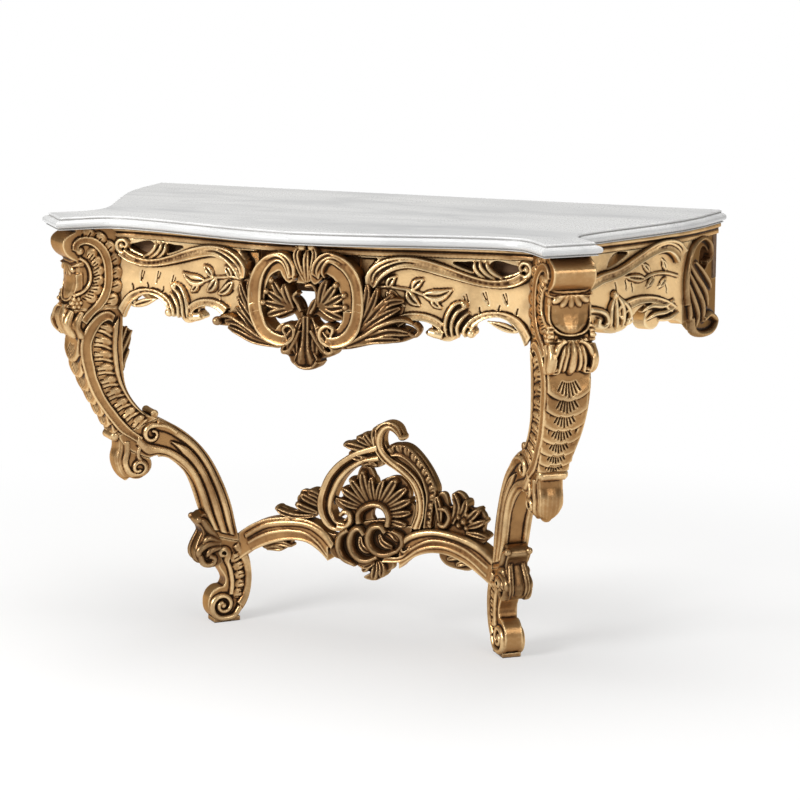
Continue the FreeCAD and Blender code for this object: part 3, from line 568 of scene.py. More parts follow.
@dataclass(frozen=True)
class RoundedEnd:
    """A lower end of a leg piece that is rounded off towards its middle plane.

    Attributes:
        high: Height where the rounding starts.
        low: Height of the end.
        most: Greatest share of the rounding's quarter circle.
    """

    high: float
    low: float
    most: float = 0.88

    def sink(self, places: Array) -> None:
        """Narrows the end.

        Args:
            places: Points of the skin, as rows, changed in place.
        """
        (ux, uy), side = LEG.along, LEG.plan(places)[1]
        share = np.clip((self.high - places[:, 2]) / (self.high - self.low), 0, self.most)
        inwards = side * (np.sqrt(1 - share**2) - 1)
        places += np.column_stack([inwards * uy, -inwards * ux, np.zeros_like(side)])


class Carving:
    """Gathers closed pieces of carving on a surface, to be made one skin."""

    def __init__(self, surface: Surface) -> None:
        """Starts with nothing.

        Args:
            surface: What the carving is laid on.
        """
        self.surface = surface
        self.points: list[Array] = []
        self.faces: list[list[int]] = []
        self.count = 0
        self.cuts: list[Cut | RoundedEnd] = []

    def add(self, points: Array, faces: Sequence[Sequence[int]]) -> None:
        """Adds one closed mesh.

        Args:
            points: Its points in space, as rows.
            faces: Its faces, as point numbers.
        """
        self.faces += [[self.count + int(corner) for corner in face] for face in faces]
        self.points.append(points)
        self.count += len(points)

    def on(self, surface: Surface) -> None:
        """Goes on with another surface."""
        self.surface = surface

    def solid(self, node: str, front: float = 1.0, back: float = 1.0) -> "Carving":
        """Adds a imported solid, as it is or cut down in its thickness.

        Args:
            node: The solid's name.
            front: Share that is kept of what stands off the surface.
            back: Share that is kept of what lies behind it.

        Returns:
            The carving itself.
        """
        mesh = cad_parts[node].data
        points = corners(mesh)
        if front < 1 or back < 1:
            off = -self.surface.depth(points, 0.0)
            kept = np.where(off > 0, off * front, off * back)
            points[:, 1] -= kept - off
        self.add(points, [list(face.vertices) for face in mesh.polygons])
        return self

    def loft(self, rings: Array) -> None:
        """Adds a skin through closed rings, capped at both ends.

        Args:
            rings: Points in space, by ring and then around it.
        """
        count, around = rings.shape[:2]
        faces = []
        for i in range(0, around * (count - 1), around):
            for j in range(around):
                after = (j + 1) % around
                faces.append([i + j, i + after, i + around + after, i + around + j])
        faces += [list(range(around)), [around * (count - 1) + j for j in reversed(range(around))]]
        self.add(rings.reshape(-1, 3), faces)

    def ribbon(
        self, left: Array, right: Array, height: float | Sequence[float], profile: Profile = Profile.ROUND,
        sink: float = SINK, lift: float = 0.0, double: bool = False
    ) -> None:
        """Adds a moulded stroke between two edges.

        Args:
            left: One edge, as coordinates of the surface.
            right: The other edge.
            height: Height off the surface, or several along the stroke.
            profile: Cross-section.
            sink: How far the stroke goes below the surface.
            lift: Added to the height all over.
            double: Whether the back is carved like the front.
        """
        count = min(max(8, int(length(left) / STATION)), MOST_STATIONS)
        one, two = smooth(left, count), smooth(right, count)
        section = np.array(profile.value)
        tall = along(height, count)
        share = section[:, 0]
        flat = one[:, None, :] * (1 - share[None, :, None]) + two[:, None, :] * share[None, :, None]
        high = lift + tall[:, None] * section[None, :, 1]
        if double:
            back, low = flat[:, ::-1], -high[:, ::-1]
        else:
            back = np.stack([two, one], axis=1)
            low = np.full((count, 2), -sink)
        flat = np.concatenate([flat, back], axis=1)
        high = np.concatenate([high, low], axis=1)
        spots = self.surface.place(flat[..., 0].ravel(), flat[..., 1].ravel(), high.ravel())
        self.loft(spots.reshape(count, -1, 3))

    def stroke(
        self, path: Array, width: float | Sequence[float], height: float | Sequence[float],
        profile: Profile = Profile.ROUND, sink: float = SINK, lift: float = 0.0, double: bool = False
    ) -> None:
        """Adds a moulded stroke along a line.

        Args:
            path: The stroke's middle line, as coordinates of the surface.
            width: Its width, or several along it.
            height: See ribbon.
            profile: See ribbon.
            sink: See ribbon.
            lift: See ribbon.
            double: See ribbon.
        """
        count = max(10, int(length(path) / STATION))
        line = smooth(path, count)
        step = np.gradient(line, axis=0)
        step /= np.linalg.norm(step, axis=1)[:, None] + 1e-9
        out = np.column_stack([-step[:, 1], step[:, 0]]) * along(width, count)[:, None] / 2
        self.ribbon(line + out, line - out, height, profile, sink, lift, double)

    def finger(
        self, path: Array, width: float, height: float, sink: float = SINK, lift: float = 0.0
    ) -> None:
        """Adds a leaf's rib, which swells and then narrows to a rounded tip.

        Args:
            path: Its middle line, from root to tip.
            width: Its greatest width.
            height: Its greatest height.
            sink: See ribbon.
            lift: See ribbon.
        """
        widths = np.array([0.55, 0.75, 0.92, 1, 1, 0.95, 0.8, 0.35]) * width
        heights = np.array([0.55, 0.7, 0.85, 0.95, 1, 1, 0.9, 0.45]) * height
        self.stroke(path, widths, heights, Profile.ROUND, sink, lift)

    def leaf(
        self, path: Array, width: float, height: float, sink: float, lift: float, double: bool = False
    ) -> None:
        """Adds a leaf's lobe: a broad hollow with raised edges, which rises to its tip.

        Args:
            path: Its middle line, from root to tip.
            width: Its greatest width.
            height: Its greatest height.
            sink: See ribbon.
            lift: See ribbon.
            double: See ribbon.
        """
        widths = np.array([0.45, 0.62, 0.8, 0.94, 1, 0.98, 0.84, 0.4]) * width
        heights = np.array([0.5, 0.6, 0.72, 0.84, 0.95, 1, 0.96, 0.7]) * height
        self.stroke(path, widths, heights, Profile.SPOON, sink, lift, double)

    def spiral(self, path: Array, centre: tuple[float, float], turns: float, tight: float = 0.25) -> Array:
        """Carries a line on into a volute.

        Args:
            path: The line, as coordinates of the surface.
            centre: The volute's eye.
            turns: How many turns it makes.
            tight: Share of the first radius at which it ends.

        Returns:
            The longer line.
        """
        line = np.asarray(path, float)
        arm = line[-1] - np.asarray(centre)
        heading = line[-1] - line[-2]
        way = 1.0 if arm[0] * heading[1] - arm[1] * heading[0] > 0 else -1.0
        t = np.linspace(0, 1, max(6, int(14 * turns)))[1:]
        angle = math.atan2(arm[1], arm[0]) + way * t * turns * 2 * math.pi
        radius = np.hypot(*arm) * (1 - (1 - tight) * t)
        volute = radius[:, None] * np.column_stack([np.cos(angle), np.sin(angle)])
        return np.vstack([line, np.asarray(centre) + volute])

    def ball(self, centre: tuple[float, float], radius: float, height: float, lift: float = 0.0) -> None:
        """Adds a rounded boss.

        Args:
            centre: Its middle, as coordinates of the surface.
            radius: Its radius along the surface.
            height: Its radius off the surface.
            lift: Height of its middle.
        """
        rise = np.linspace(-math.pi / 2 + 0.12, math.pi / 2 - 0.12, 8)
        turn = np.linspace(0, 2 * math.pi, 14, endpoint=False)
        a = centre[0] + radius * np.cos(rise)[:, None] * np.cos(turn)
        b = centre[1] + radius * np.cos(rise)[:, None] * np.sin(turn)
        h = lift + height * np.sin(rise)[:, None] * np.ones_like(turn)
        self.loft(self.surface.place(a.ravel(), b.ravel(), h.ravel()).reshape(*h.shape, 3))

    def almond(self, base: Array, tip: Array, width: float, height: float, bend: float = 0.0) -> None:
        """Adds a pointed leaf with a sunk vein.

        Args:
            base: Where the leaf springs from.
            tip: Its point.
            width: Its greatest width.
            height: Its greatest height.
            bend: Sideways bow, as a share of its length.
        """
        start, end = np.asarray(base, float), np.asarray(tip, float)
        run = end - start
        side = np.array([-run[1], run[0]])
        middle = (start + end) / 2 + bend * side
        count = 14
        spine = smooth([start, middle, end], count)
        step = np.gradient(spine, axis=0)
        step /= np.linalg.norm(step, axis=1)[:, None]
        out = np.column_stack([-step[:, 1], step[:, 0]])
        t = np.linspace(0.02, 0.98, count)
        half = width / 2 * np.sin(math.pi * t**0.8)
        tall = height * (0.45 + 0.55 * np.sin(math.pi * t))
        for sign in (1, -1):
            inner = spine + out * (sign * np.minimum(half * 0.16, 0.0009))[:, None]
            outer = spine + out * (sign * np.maximum(half, 0.0012))[:, None]
            self.ribbon(inner, outer, tall, Profile.ROUND, 0.004)

    def fringe(
        self, root: Array, tip: Array, count: int, height: float, shares: Sequence[float] = (1.0,),
        lean: float = 0.0, bend: float = 0.0
    ) -> None:
        """Adds a row of small fans from one line to another.

        Args:
            root: The line that the fans spring from, as coordinates of the surface.
            tip: The line that they reach.
            count: How many fans there are.
            height: Height of the widest rib.
            shares: Widths of a fan's ribs, as shares of its room.
            lean: How far the fans lean along the lines, in fans.
            bend: Sideways bow of the ribs, as a share of their length.
        """
        steps = 12
        last = steps * count
        base, edge = smooth(root, last + 1), smooth(tip, last + 1)
        room = length(edge) / count
        middles = np.cumsum(shares) - np.asarray(shares) / 2
        for fan in range(count):
            for middle, share in zip(middles, shares):
                start = base[round(steps * (fan + 0.3 + 0.4 * middle))]
                end = edge[int(np.clip(round(steps * (fan + middle + lean)), 0, last))]
                run = end - start
                bowed = (start + end) / 2 + bend * np.array([-run[1], run[0]])
                tall = height * (0.6 + 0.4 * share / max(shares))
                self.finger(np.array([start, bowed, end]), room * share * 1.02, tall)

    def plate(self, outline: Array, low: float, high: float) -> None:
        """Adds a flat board of some outline.

        Args:
            outline: Its corners in order, as coordinates of the surface.
            low: Height of its back.
            high: Height of its front.
        """
        loop = np.asarray(outline, float)
        count = len(loop)
        cuts = tessellate_polygon([[Vector((a, b, 0.0)) for a, b in loop]])
        top = self.surface.place(loop[:, 0], loop[:, 1], np.full(count, high))
        foot = self.surface.place(loop[:, 0], loop[:, 1], np.full(count, low))
        faces = [list(cut) for cut in cuts]
        faces += [[count + corner for corner in reversed(cut)] for cut in cuts]
        faces += [[i, (i + 1) % count, count + (i + 1) % count, count + i] for i in range(count)]
        self.add(np.vstack([top, foot]), faces)

    def tick(self, lines: Sequence[Array], width: float = 0.0042, deep: float = 0.0035) -> None:
        """Cuts fine lines into the finished skin."""
        self.cuts += [Cut(self.surface, smooth(line, 9), width, deep) for line in lines]

    def ticks(self, root: Array, tip: Array, count: int, share: float, lean: float = 0.0) -> None:
        """Cuts a row of fine lines from one line towards another.

        Args:
            root: The line that the cuts start from, as coordinates of the surface.
            tip: The line that they point to.
            count: How many cuts there are.
            share: Their length, as a share of the way; each third one is shorter.
            lean: How far they lean along the lines, as a share of the lines.
        """
        base, edge = smooth(root, 200), smooth(tip, 200)
        last = len(base) - 1
        lines = []
        for number, place in enumerate(np.linspace(0.02, 0.98, count)):
            start = base[int(last * place)]
            end = edge[int(last * np.clip(place + lean, 0, 1))]
            reach = share * (0.6 if number % 3 == 0 else 1.0)
            lines.append(
                np.array([start, start + (end - start) * reach / 2, start + (end - start) * reach])
            )
        self.tick(lines, 0.0034, 0.003)

    def mesh(self, name: str, voxel: float) -> bpy.types.Mesh:
        """Makes one smooth closed skin of all that was added.

        Args:
            name: The mesh's name.
            voxel: Size of the finest detail kept.

        Returns:
            The mesh, with its relief written to two attributes.
        """
        rough = bpy.data.meshes.new(name + "_rough")
        rough.from_pydata(np.vstack(self.points).tolist(), [], self.faces)
        holder = bpy.data.objects.new(name + "_rough", rough)
        bpy.context.scene.collection.objects.link(holder)
        remesh = holder.modifiers.new("skin", "REMESH")
        remesh.mode = "VOXEL"
        remesh.voxel_size = voxel
        bpy.context.view_layer.update()
        seen = holder.evaluated_get(bpy.context.evaluated_depsgraph_get())
        skin = bpy.data.meshes.new_from_object(seen)
        skin.name = name
        bpy.data.objects.remove(holder)
        bpy.data.meshes.remove(rough)
        places = corners(skin)
        for cut in self.cuts:
            cut.sink(places)
        skin.vertices.foreach_set("co", places.ravel())
        Relief(skin).write()
        return skin


class Relief:
    """Smooths a carved skin and measures how far each point stands out from its surroundings."""

    # Each attribute's name, how often its surroundings are averaged, and the height that nearly fills it.
    LAYERS = (("fine", 5, 0.00035), ("broad", 40, 0.0016))

    def __init__(self, mesh: bpy.types.Mesh) -> None:
        """Reads the mesh.

        Args:
            mesh: A carved skin.
        """
        self.mesh = mesh
        self.count = len(mesh.vertices)
        edges = np.empty(len(mesh.edges) * 2, np.int32)
        mesh.edges.foreach_get("vertices", edges)
        self.ends = np.concatenate([edges.reshape(-1, 2), edges.reshape(-1, 2)[:, ::-1]])
        self.degree = np.maximum(np.bincount(self.ends[:, 0], minlength=self.count), 1)[:, None]

    def around(self, values: Array) -> Array:
        """Averages each point's neighbours.

        Args:
            values: One row for each point.

        Returns:
            The averages, as rows.
        """
        near, far = self.ends.T
        sums = [np.bincount(near, weights=column[far], minlength=self.count) for column in values.T]
        return np.column_stack(sums) / self.degree

    def write(self) -> None:
        """Smooths the skin and writes the attributes fine and broad."""
        places = corners(self.mesh)
        # A step forward and a longer one back smooth the skin without shrinking it.
        for step in (0.5, -0.52) * 4:
            places = places + step * (self.around(places) - places)
        self.mesh.vertices.foreach_set("co", places.ravel())
        self.mesh.update()
        normals = np.empty(self.count * 3)
        self.mesh.vertices.foreach_get("normal", normals)
        normals = normals.reshape(-1, 3)
        blurred = places
        for name, steps, span in self.LAYERS:
            for _ in range(steps):
                blurred = blurred + 0.7 * (self.around(blurred) - blurred)
            stand = np.sum((places - blurred) * normals, axis=1, keepdims=True)
            stand = (stand + self.around(stand))[:, 0] / 2
            layer = self.mesh.attributes.new(name, "FLOAT", "POINT")
            layer.data.foreach_set("value", np.tanh(stand / span))
        self.mesh.polygons.foreach_set("use_smooth", np.ones(len(self.mesh.polygons), bool))
        self.mesh.update()


class Wire:
    """A shader value that arithmetic can be written with."""

    def __init__(self, graph: "NodeGraph", socket: bpy.types.NodeSocket) -> None:
        """Keeps the socket."""
        self.graph = graph
        self.socket = socket

    def __add__(self, other: "Wire | float") -> "Wire":
        """Adds."""
        return self.graph.math("ADD", self, other)

    def __radd__(self, other: float) -> "Wire":
        """Adds to a number."""
        return self.graph.math("ADD", other, self)

    def __sub__(self, other: "Wire | float") -> "Wire":
        """Takes away."""
        return self.graph.math("SUBTRACT", self, other)

    def __rsub__(self, other: float) -> "Wire":
        """Takes away from a number."""
        return self.graph.math("SUBTRACT", other, self)

    def __mul__(self, other: "Wire | float") -> "Wire":
        """Multiplies."""
        return self.graph.math("MULTIPLY", self, other)

    def __rmul__(self, other: float) -> "Wire":
        """Multiplies a number."""
        return self.graph.math("MULTIPLY", other, self)

    def ease(self, low: float, high: float) -> "Wire":
        """Rises smoothly from 0 at one value to 1 at another.

        Args:
            low: Where it starts.
            high: Where it ends.

        Returns:
            The eased value.
        """
        settings = {"interpolation_type": "SMOOTHSTEP"}
        inputs = {"Value": self, "From Min": low, "From Max": high}
        return self.graph.wire("ShaderNodeMapRange", "Result", settings, inputs)


class NodeGraph:
    """A node tree that nodes are added to."""

    def __init__(self, tree: bpy.types.NodeTree) -> None:
        """Keeps the tree."""
        self.tree = tree

    def node(self, kind: str, settings: dict | None = None, inputs: dict | None = None) -> bpy.types.Node:
        """Adds a node.

        Args:
            kind: Its type.
            settings: Its own settings, set first.
            inputs: Values or wires for its sockets.

        Returns:
            The node.
        """
        made = self.tree.nodes.new(kind)
        for key, value in (settings or {}).items():
            setattr(made, key, value)
        for key, value in (inputs or {}).items():
            self.feed(made.inputs[key], value)
        return made

    def wire(
        self, kind: str, output: int | str, settings: dict | None = None, inputs: dict | None = None
    ) -> Wire:
        """Adds a node and takes one of its outputs."""
        return Wire(self, self.node(kind, settings, inputs).outputs[output])

    def feed(self, socket: bpy.types.NodeSocket, value: Wire | float | Colour) -> None:
        """Sets a socket or links a wire to it.

        Args:
            socket: The socket.
            value: A constant or a wire.
        """
        if isinstance(value, Wire):
            self.tree.links.new(value.socket, socket)
        else:
            socket.default_value = value

    def math(self, operation: str, first: Wire | float, second: Wire | float = 0.0) -> Wire:
        """Does one sum."""
        return self.wire("ShaderNodeMath", 0, {"operation": operation}, {0: first, 1: second})


class Shader(NodeGraph):
    """One procedural material on a Principled BSDF."""

    def __init__(self, name: str) -> None:
        """Starts a material.

        Args:
            name: Its name.
        """
        self.material = bpy.data.materials.new(name)
        self.material.use_nodes = True
        super().__init__(self.material.node_tree)
        self.surface = self.tree.nodes["Principled BSDF"]

    def mix(self, share: Wire | float, first: Wire | Colour, second: Wire | Colour) -> Wire:
        """Mixes two colours by the second one's share."""
        inputs = {0: share, 6: first, 7: second}
        return self.wire("ShaderNodeMix", 2, {"data_type": "RGBA"}, inputs)

    def noise(self, scale: float, detail: float = 3.0, stretch: Spot = (1, 1, 1)) -> Wire:
        """Adds noise over the object's own coordinates.

        Args:
            scale: Spots in each metre.
            detail: Octaves.
            stretch: Factors for the three axes.

        Returns:
            Values around one half.
        """
        place = self.wire("ShaderNodeTexCoord", "Object")
        spread = self.wire("ShaderNodeMapping", 0, {}, {"Vector": place, "Scale": stretch})
        return self.wire("ShaderNodeTexNoise", 0, {}, {"Vector": spread, "Scale": scale, "Detail": detail})

    def relief(self, name: str) -> Wire:
        """Reads an attribute of the mesh."""
        return self.wire("ShaderNodeAttribute", "Fac", {"attribute_name": name})

    def occlusion(self, distance: float) -> Wire:
        """Measures how open each place is: 1 in the open and less in hollows."""
        return self.wire("ShaderNodeAmbientOcclusion", "AO", {"samples": 6}, {"Distance": distance})

    def finish(self, bump: Wire, distance: float, inputs: dict) -> bpy.types.Material:
        """Feeds the BSDF.

        Args:
            bump: Height of the fine bumps.
            distance: Depth of the bumps.
            inputs: Values or wires for the BSDF's sockets.

        Returns:
            The material.
        """
        bumps = {"Strength": 0.5, "Distance": distance, "Height": bump}
        inputs = {"Normal": self.wire("ShaderNodeBump", 0, {}, bumps), **inputs}
        for key, value in inputs.items():
            self.feed(self.surface.inputs[key], value)
        return self.material


@dataclass(frozen=True)
class Gilding:
    """Worn gold leaf over dark red ground.

    Attributes:
        name: The material's name.
        leaf: Colour of the leaf.
        pale: Colour of the burnished high places.
        ground: Colour where the leaf is rubbed, and of the painted shade in broad hollows.
        dark: Colour of the grime in the hollows, and of the painted shade in narrow folds.
        wear_and_shading: Shifts the balance towards the rubbed ground and the grime; the lighter and darker
            copies also shift it for painted light and shade.
        crease_shade: How far off the walls of a narrow fold are that gets painted shade, which also stands
            for its patina.
        recess_shade: How far off the walls of a broad hollow are that gets painted shade in the ground's
            colour.
        tint: Colour of the varnish's gloss.
        fine: How much the fine relief counts.
        broad: How much the broad relief counts.
        mottle: How much the blotches count.
        grit: How much the specks count.
        bump: Depth of the bumps.
    """

    name: str
    leaf: Colour = (0.43, 0.236, 0.094, 1)
    pale: Colour = (0.95, 0.69, 0.37, 1)
    ground: Colour = (0.135, 0.053, 0.018, 1)
    dark: Colour = (0.016, 0.007, 0.003, 1)
    wear_and_shading: float = 0.06
    crease_shade: float = 0.007
    recess_shade: float = 0.04
    tint: Colour = (1.0, 0.72, 0.45, 1)
    fine: float = 0.75
    broad: float = 0.28
    mottle: float = 0.55
    grit: float = 0.35
    bump: float = 0.0008

    def material(self) -> bpy.types.Material:
        """Builds the material.

        Returns:
            The material.
        """
        shader = Shader(self.name)
        blotch = shader.noise(22, 4) - 0.5
        speck = shader.noise(150, 3) - 0.5
        stain = shader.noise(13, 6).ease(0.44, 0.66)
        # Occlusion masks, 1 in the open and less near walls, for painted shade.
        crease_shade = shader.occlusion(self.crease_shade).ease(0.42, 0.86)
        recess_shade = shader.occlusion(self.recess_shade).ease(0.2, 0.92)
        carved = shader.relief("fine") * self.fine + shader.relief("broad") * self.broad
        height = carved + blotch * self.mottle + speck * self.grit - self.wear_and_shading
        gold = height.ease(-0.62, -0.12)
        colour = shader.mix(gold, self.ground, self.leaf)
        colour = shader.mix(height.ease(0.0, 0.75) * 0.8, colour, self.pale)
        colour = shader.mix(stain * 0.42, colour, self.ground)
        # Painted shade in broad hollows, in the ground's colour.
        colour = shader.mix((1.0 - recess_shade) * 0.72, colour, self.ground)
        colour = shader.mix((height * -1.0).ease(0.3, 0.75), colour, self.dark)
        # Painted shade in narrow folds, which also stands for their patina.
        colour = shader.mix((1.0 - crease_shade) * 0.92, colour, self.dark)
        rough = 0.5 - gold * 0.18 + speck * 0.2
        inputs = {
            "Base Color": colour, "Metallic": gold * crease_shade * 0.8, "Roughness": rough,
            "Specular IOR Level": 0.14, "Specular Tint": self.tint
        }
        return shader.finish(speck + blotch * 0.5, self.bump, inputs)


@dataclass(frozen=True)
class Stone:
    """White marble with faint grey streaks along the table.

    Attributes:
        name: The material's name.
        white: Colour of the ground.
        grey: Colour of the streaks and veins.
        painted_crease_shade: Colour of the painted shade in the moulding's narrow folds.
    """

    name: str = "marble"
    white: Colour = (0.68, 0.68, 0.672, 1)
    grey: Colour = (0.45, 0.455, 0.46, 1)
    painted_crease_shade: Colour = (0.16, 0.14, 0.12, 1)

    def material(self) -> bpy.types.Material:
        """Builds the material.

        Returns:
            The material.
        """
        shader = Shader(self.name)
        warp = shader.noise(2.5, 3)
        streak = shader.noise(5, 6, (0.35, 2.2, 2.2)) * 0.75 + warp * 0.35
        middle = shader.math("ABSOLUTE", shader.noise(3.2, 5, (0.5, 1.6, 1.6)) - 0.5)
        vein = (1.0 - middle * 16.0).ease(0.3, 1.0)
        grain = shader.noise(320, 2) - 0.5
        colour = shader.mix(streak.ease(0.42, 0.82) * 0.75 + vein * 0.25, self.white, self.grey)
        # Painted shade: the moulding's narrow folds are darkened where walls enclose them.
        shade = shader.occlusion(0.006).ease(0.3, 0.75)
        colour = shader.mix((1.0 - shade) * 0.8, colour, self.painted_crease_shade)
        inputs = {"Base Color": colour, "Roughness": 0.24 + grain * 0.1 + streak * 0.08}
        return shader.finish(grain, 0.0002, inputs)


@dataclass(frozen=True)
class Timber:
    """Sawn wood that was never gilded.

    Attributes:
        name: The material's name.
        light: Colour of the wood.
        deep: Colour of the grain and the pores.
        stretch: Factors of the grain for the three axes.
    """

    name: str
    light: Colour = (0.24, 0.135, 0.065, 1)
    deep: Colour = (0.08, 0.04, 0.018, 1)
    stretch: Spot = (1.5, 30, 30)

    def material(self) -> bpy.types.Material:
        """Builds the material.

        Returns:
            The material.
        """
        shader = Shader(self.name)
        grain = shader.noise(4, 5, self.stretch)
        long, *across = self.stretch
        pore = shader.noise(9, 3, (long * 2, *(4 * factor for factor in across)))
        blotch = shader.noise(6, 3)
        colour = shader.mix((grain * 0.7 + blotch * 0.4).ease(0.3, 0.8), self.light, self.deep)
        colour = shader.mix(pore.ease(0.6, 0.8) * 0.5, colour, self.deep)
        return shader.finish(pore + grain, 0.0008, {"Base Color": colour, "Roughness": 0.68 + pore * 0.15})


@dataclass(frozen=True)
class StudioFloor:
    """Pale plain floor that glows: half emission near the table, which thins the cast shadows, and all
    emission farther off, so it grows lighter away from the table.

    Attributes:
        name: The material's name.
        colour: Its colour.
        shade: Share of the colour that the faint clouds keep.
    """

    name: str = "studio_floor"
    colour: Colour = (0.93, 0.93, 0.925, 1)
    shade: float = 0.99

    def material(self) -> bpy.types.Material:
        """Builds the material.

        Returns:
            The material.
        """
        shader = Shader(self.name)
        cloud = shader.noise(0.8, 2)
        deeper = (*(self.shade * part for part in self.colour[:3]), 1)
        colour = shader.mix(cloud, self.colour, deeper)
        shader.finish(cloud, 0.0001, {"Base Color": colour, "Roughness": 0.75})
        # Painted light: the floor glows white, half emission near the middle and wholly emission from about
        # 1.9 m out.
        place = shader.wire("ShaderNodeTexCoord", "Object")
        away = shader.wire("ShaderNodeVectorMath", "Value", {"operation": "LENGTH"}, {0: place})
        inputs = {
            0: 0.5 + away.ease(0.7, 1.9) * 0.5, 1: Wire(shader, shader.surface.outputs[0]),
            2: shader.wire("ShaderNodeEmission", 0, {}, {"Color": (1, 1, 1, 1), "Strength": 1.0})
        }
        both = shader.wire("ShaderNodeMixShader", 0, {}, inputs)
        shader.feed(shader.tree.nodes["Material Output"].inputs["Surface"], both)
        return shader.material


class Finish(Enum):
    """The finishes; each value is the name of a material."""

    GILT = "gilt"
    FIELD = "gilt_field"
    FOLIAGE = "gilt_foliage"
    MARBLE = "marble"
    BARE_WOOD = "bare_wood"
    DOWEL_WOOD = "dowel_wood"

    @property
    def slot(self) -> str:
        """The record's material slot."""
        return "gilt" if self in (Finish.FIELD, Finish.FOLIAGE) else self.value


class Workshop:
    """Turns carvings into finished pieces and logs them."""

    def __init__(self) -> None:
        """Builds the materials."""
        # Lit and shaded copies of the gilding: a lighter one for the flat fields, painted light where they
        # face the lamps, and a darker one for the deep carved foliage, partly its grime and partly painted
        # shade.
        field = Gilding("gilt_field", leaf=(0.96, 0.66, 0.33, 1), pale=(1.0, 0.78, 0.46, 1), wear_and_shading=-0.1)
        foliage = Gilding(
            "gilt_foliage", leaf=(0.18, 0.10, 0.042, 1), pale=(0.58, 0.39, 0.20, 1), wear_and_shading=0.14
        )
        self.materials = {
            Finish.GILT: Gilding("gilt").material(), Finish.FIELD: field.material(),
            Finish.FOLIAGE: foliage.material(), Finish.MARBLE: Stone().material(),
            Finish.BARE_WOOD: Timber("bare_wood").material(),
            Finish.DOWEL_WOOD: Timber("dowel_wood", light=(0.5, 0.33, 0.18, 1)).material()
        }

    def piece(self, mesh: bpy.types.Mesh, node: str, finish: Finish) -> None:
        """Puts a mesh in the scene in place of a solid.

        Args:
            mesh: The finished mesh, with the piece's name.
            node: The solid that it replaces.
            finish: Its finish.
        """
        mesh.materials.clear()
        mesh.materials.append(self.materials[finish])
        made = bpy.data.objects.new(mesh.name, mesh)
        bpy.context.scene.collection.objects.link(made)
        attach(made, "root")
        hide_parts(node)
        finish.slot
        LOG.info("piece %s: %d faces, %s", made.name, len(mesh.polygons), finish.value)

    def single(
        self, carving: Carving, node: str, finish: Finish = Finish.GILT, voxel: float = VOXEL
    ) -> None:
        """Finishes a carving that replaces one solid."""
        self.piece(carving.mesh("carved_" + node, voxel), node, finish)

    def pair(
        self, carving: Carving, node: str, finish: Finish = Finish.GILT, voxel: float = VOXEL,
        made: str = "left"
    ) -> None:
        """Finishes a carving and its mirror twin.

        Args:
            carving: The carving of one side.
            node: The solid's name without its side.
            finish: Its finish.
            voxel: Size of the finest detail kept.
            made: The side that was carved.
        """
        other = "right" if made == "left" else "left"
        mesh = carving.mesh(f"carved_{node}_{made}", voxel)
        twin = mesh.copy()
        twin.name = f"carved_{node}_{other}"
        places = corners(twin) * np.array([-1.0, 1.0, 1.0])
        twin.vertices.foreach_set("co", places.ravel())
        twin.flip_normals()
        twin.update()
        self.piece(mesh, f"{node}_{made}", finish)
        self.piece(twin, f"{node}_{other}", finish)

    def carry(self, nodes: Sequence[str], finish: Finish) -> None:
        """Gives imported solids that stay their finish.

        Args:
            nodes: The solids.
            finish: Their finish.
        """
        for name in nodes:
            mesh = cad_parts[name].data
            mesh.materials.clear()
            mesh.materials.append(self.materials[finish])
            LOG.info("carried %s: %s", name, finish.value)


FRONT = FrontSurface()
SIDE = SideSurface()


@dataclass
class Assembly:
    """A group of pieces that belong together.

    Attributes:
        shop: Where they are finished.
    """

    shop: Workshop

    def build(self) -> None:
        """Builds the pieces."""
        raise NotImplementedError


@dataclass
class MarbleTop(Assembly):
    """The serpentine slab with its moulded edge.

    Attributes:
        edge: The moulding, as distance out from the flat top's edge and height, from the top down.
    """

    edge: Pairs = (
        (-3, 880), (0.3, 879.6), (1.8, 878.2), (2.0, 876.4), (1.0, 875.2), (1.2, 874.2), (5.5, 873.6),
        (9.5, 872.0), (12.2, 869.2), (13, 865.8), (12.4, 862.6), (9.8, 860.2), (6.2, 859.2), (4.6, 858.4),
        (4.6, 857.4), (6.6, 856.8), (7.0, 855.8), (5.8, 855)
    )

    def loop(self) -> tuple[Array, Array]:
        """Finds the flat top's outline and the outward mitre at each point.

        Returns:
            Points and mitres, as rows.
        """
        side, front = smooth(MARBLE_SIDE, 60), smooth(MARBLE_FRONT, 70)
        half = np.vstack([side, front])
        loop = np.vstack([half, half[-2::-1] * np.array([-1.0, 1.0])])
        ahead = np.roll(loop, -1, axis=0) - loop
        ahead /= np.linalg.norm(ahead, axis=1)[:, None]
        out = np.column_stack([-ahead[:, 1], ahead[:, 0]])
        # The outline's last edge runs along the wall, where the slab is cut off flat.
        before = np.roll(out, 1, axis=0)
        before[0] = out[0]
        out[-1] = before[-1]
        mitre = out + before
        mitre /= np.sum(mitre * out, axis=1)[:, None]
        return loop, mitre

    def build(self) -> None:
        """Builds the slab."""
        loop, mitre = self.loop()
        count = len(loop)
        rings = []
        for out, z in millimetres(self.edge):
            ring = loop + out * mitre
            rings.append(np.column_stack([ring[:, 0], np.minimum(ring[:, 1], WALL_Y), np.full(count, z)]))
        points = np.vstack(rings)
        last = count * (len(rings) - 1)
        faces = []
        for i in range(0, last, count):
            for j in range(count):
                after = (j + 1) % count
                faces.append([i + j, i + count + j, i + count + after, i + after])
        for start, turn in ((0, 1), (last, -1)):
            ring = points[start : start + count]
            for cut in tessellate_polygon([[Vector(spot) for spot in ring]]):
                faces.append([start + corner for corner in cut[::turn]])
        mesh = bpy.data.meshes.new("marble_slab")
        mesh.from_pydata(points.tolist(), [], faces)
        mesh.validate()
        mesh.update()
        self.shop.piece(mesh, "marble_top", Finish.MARBLE)


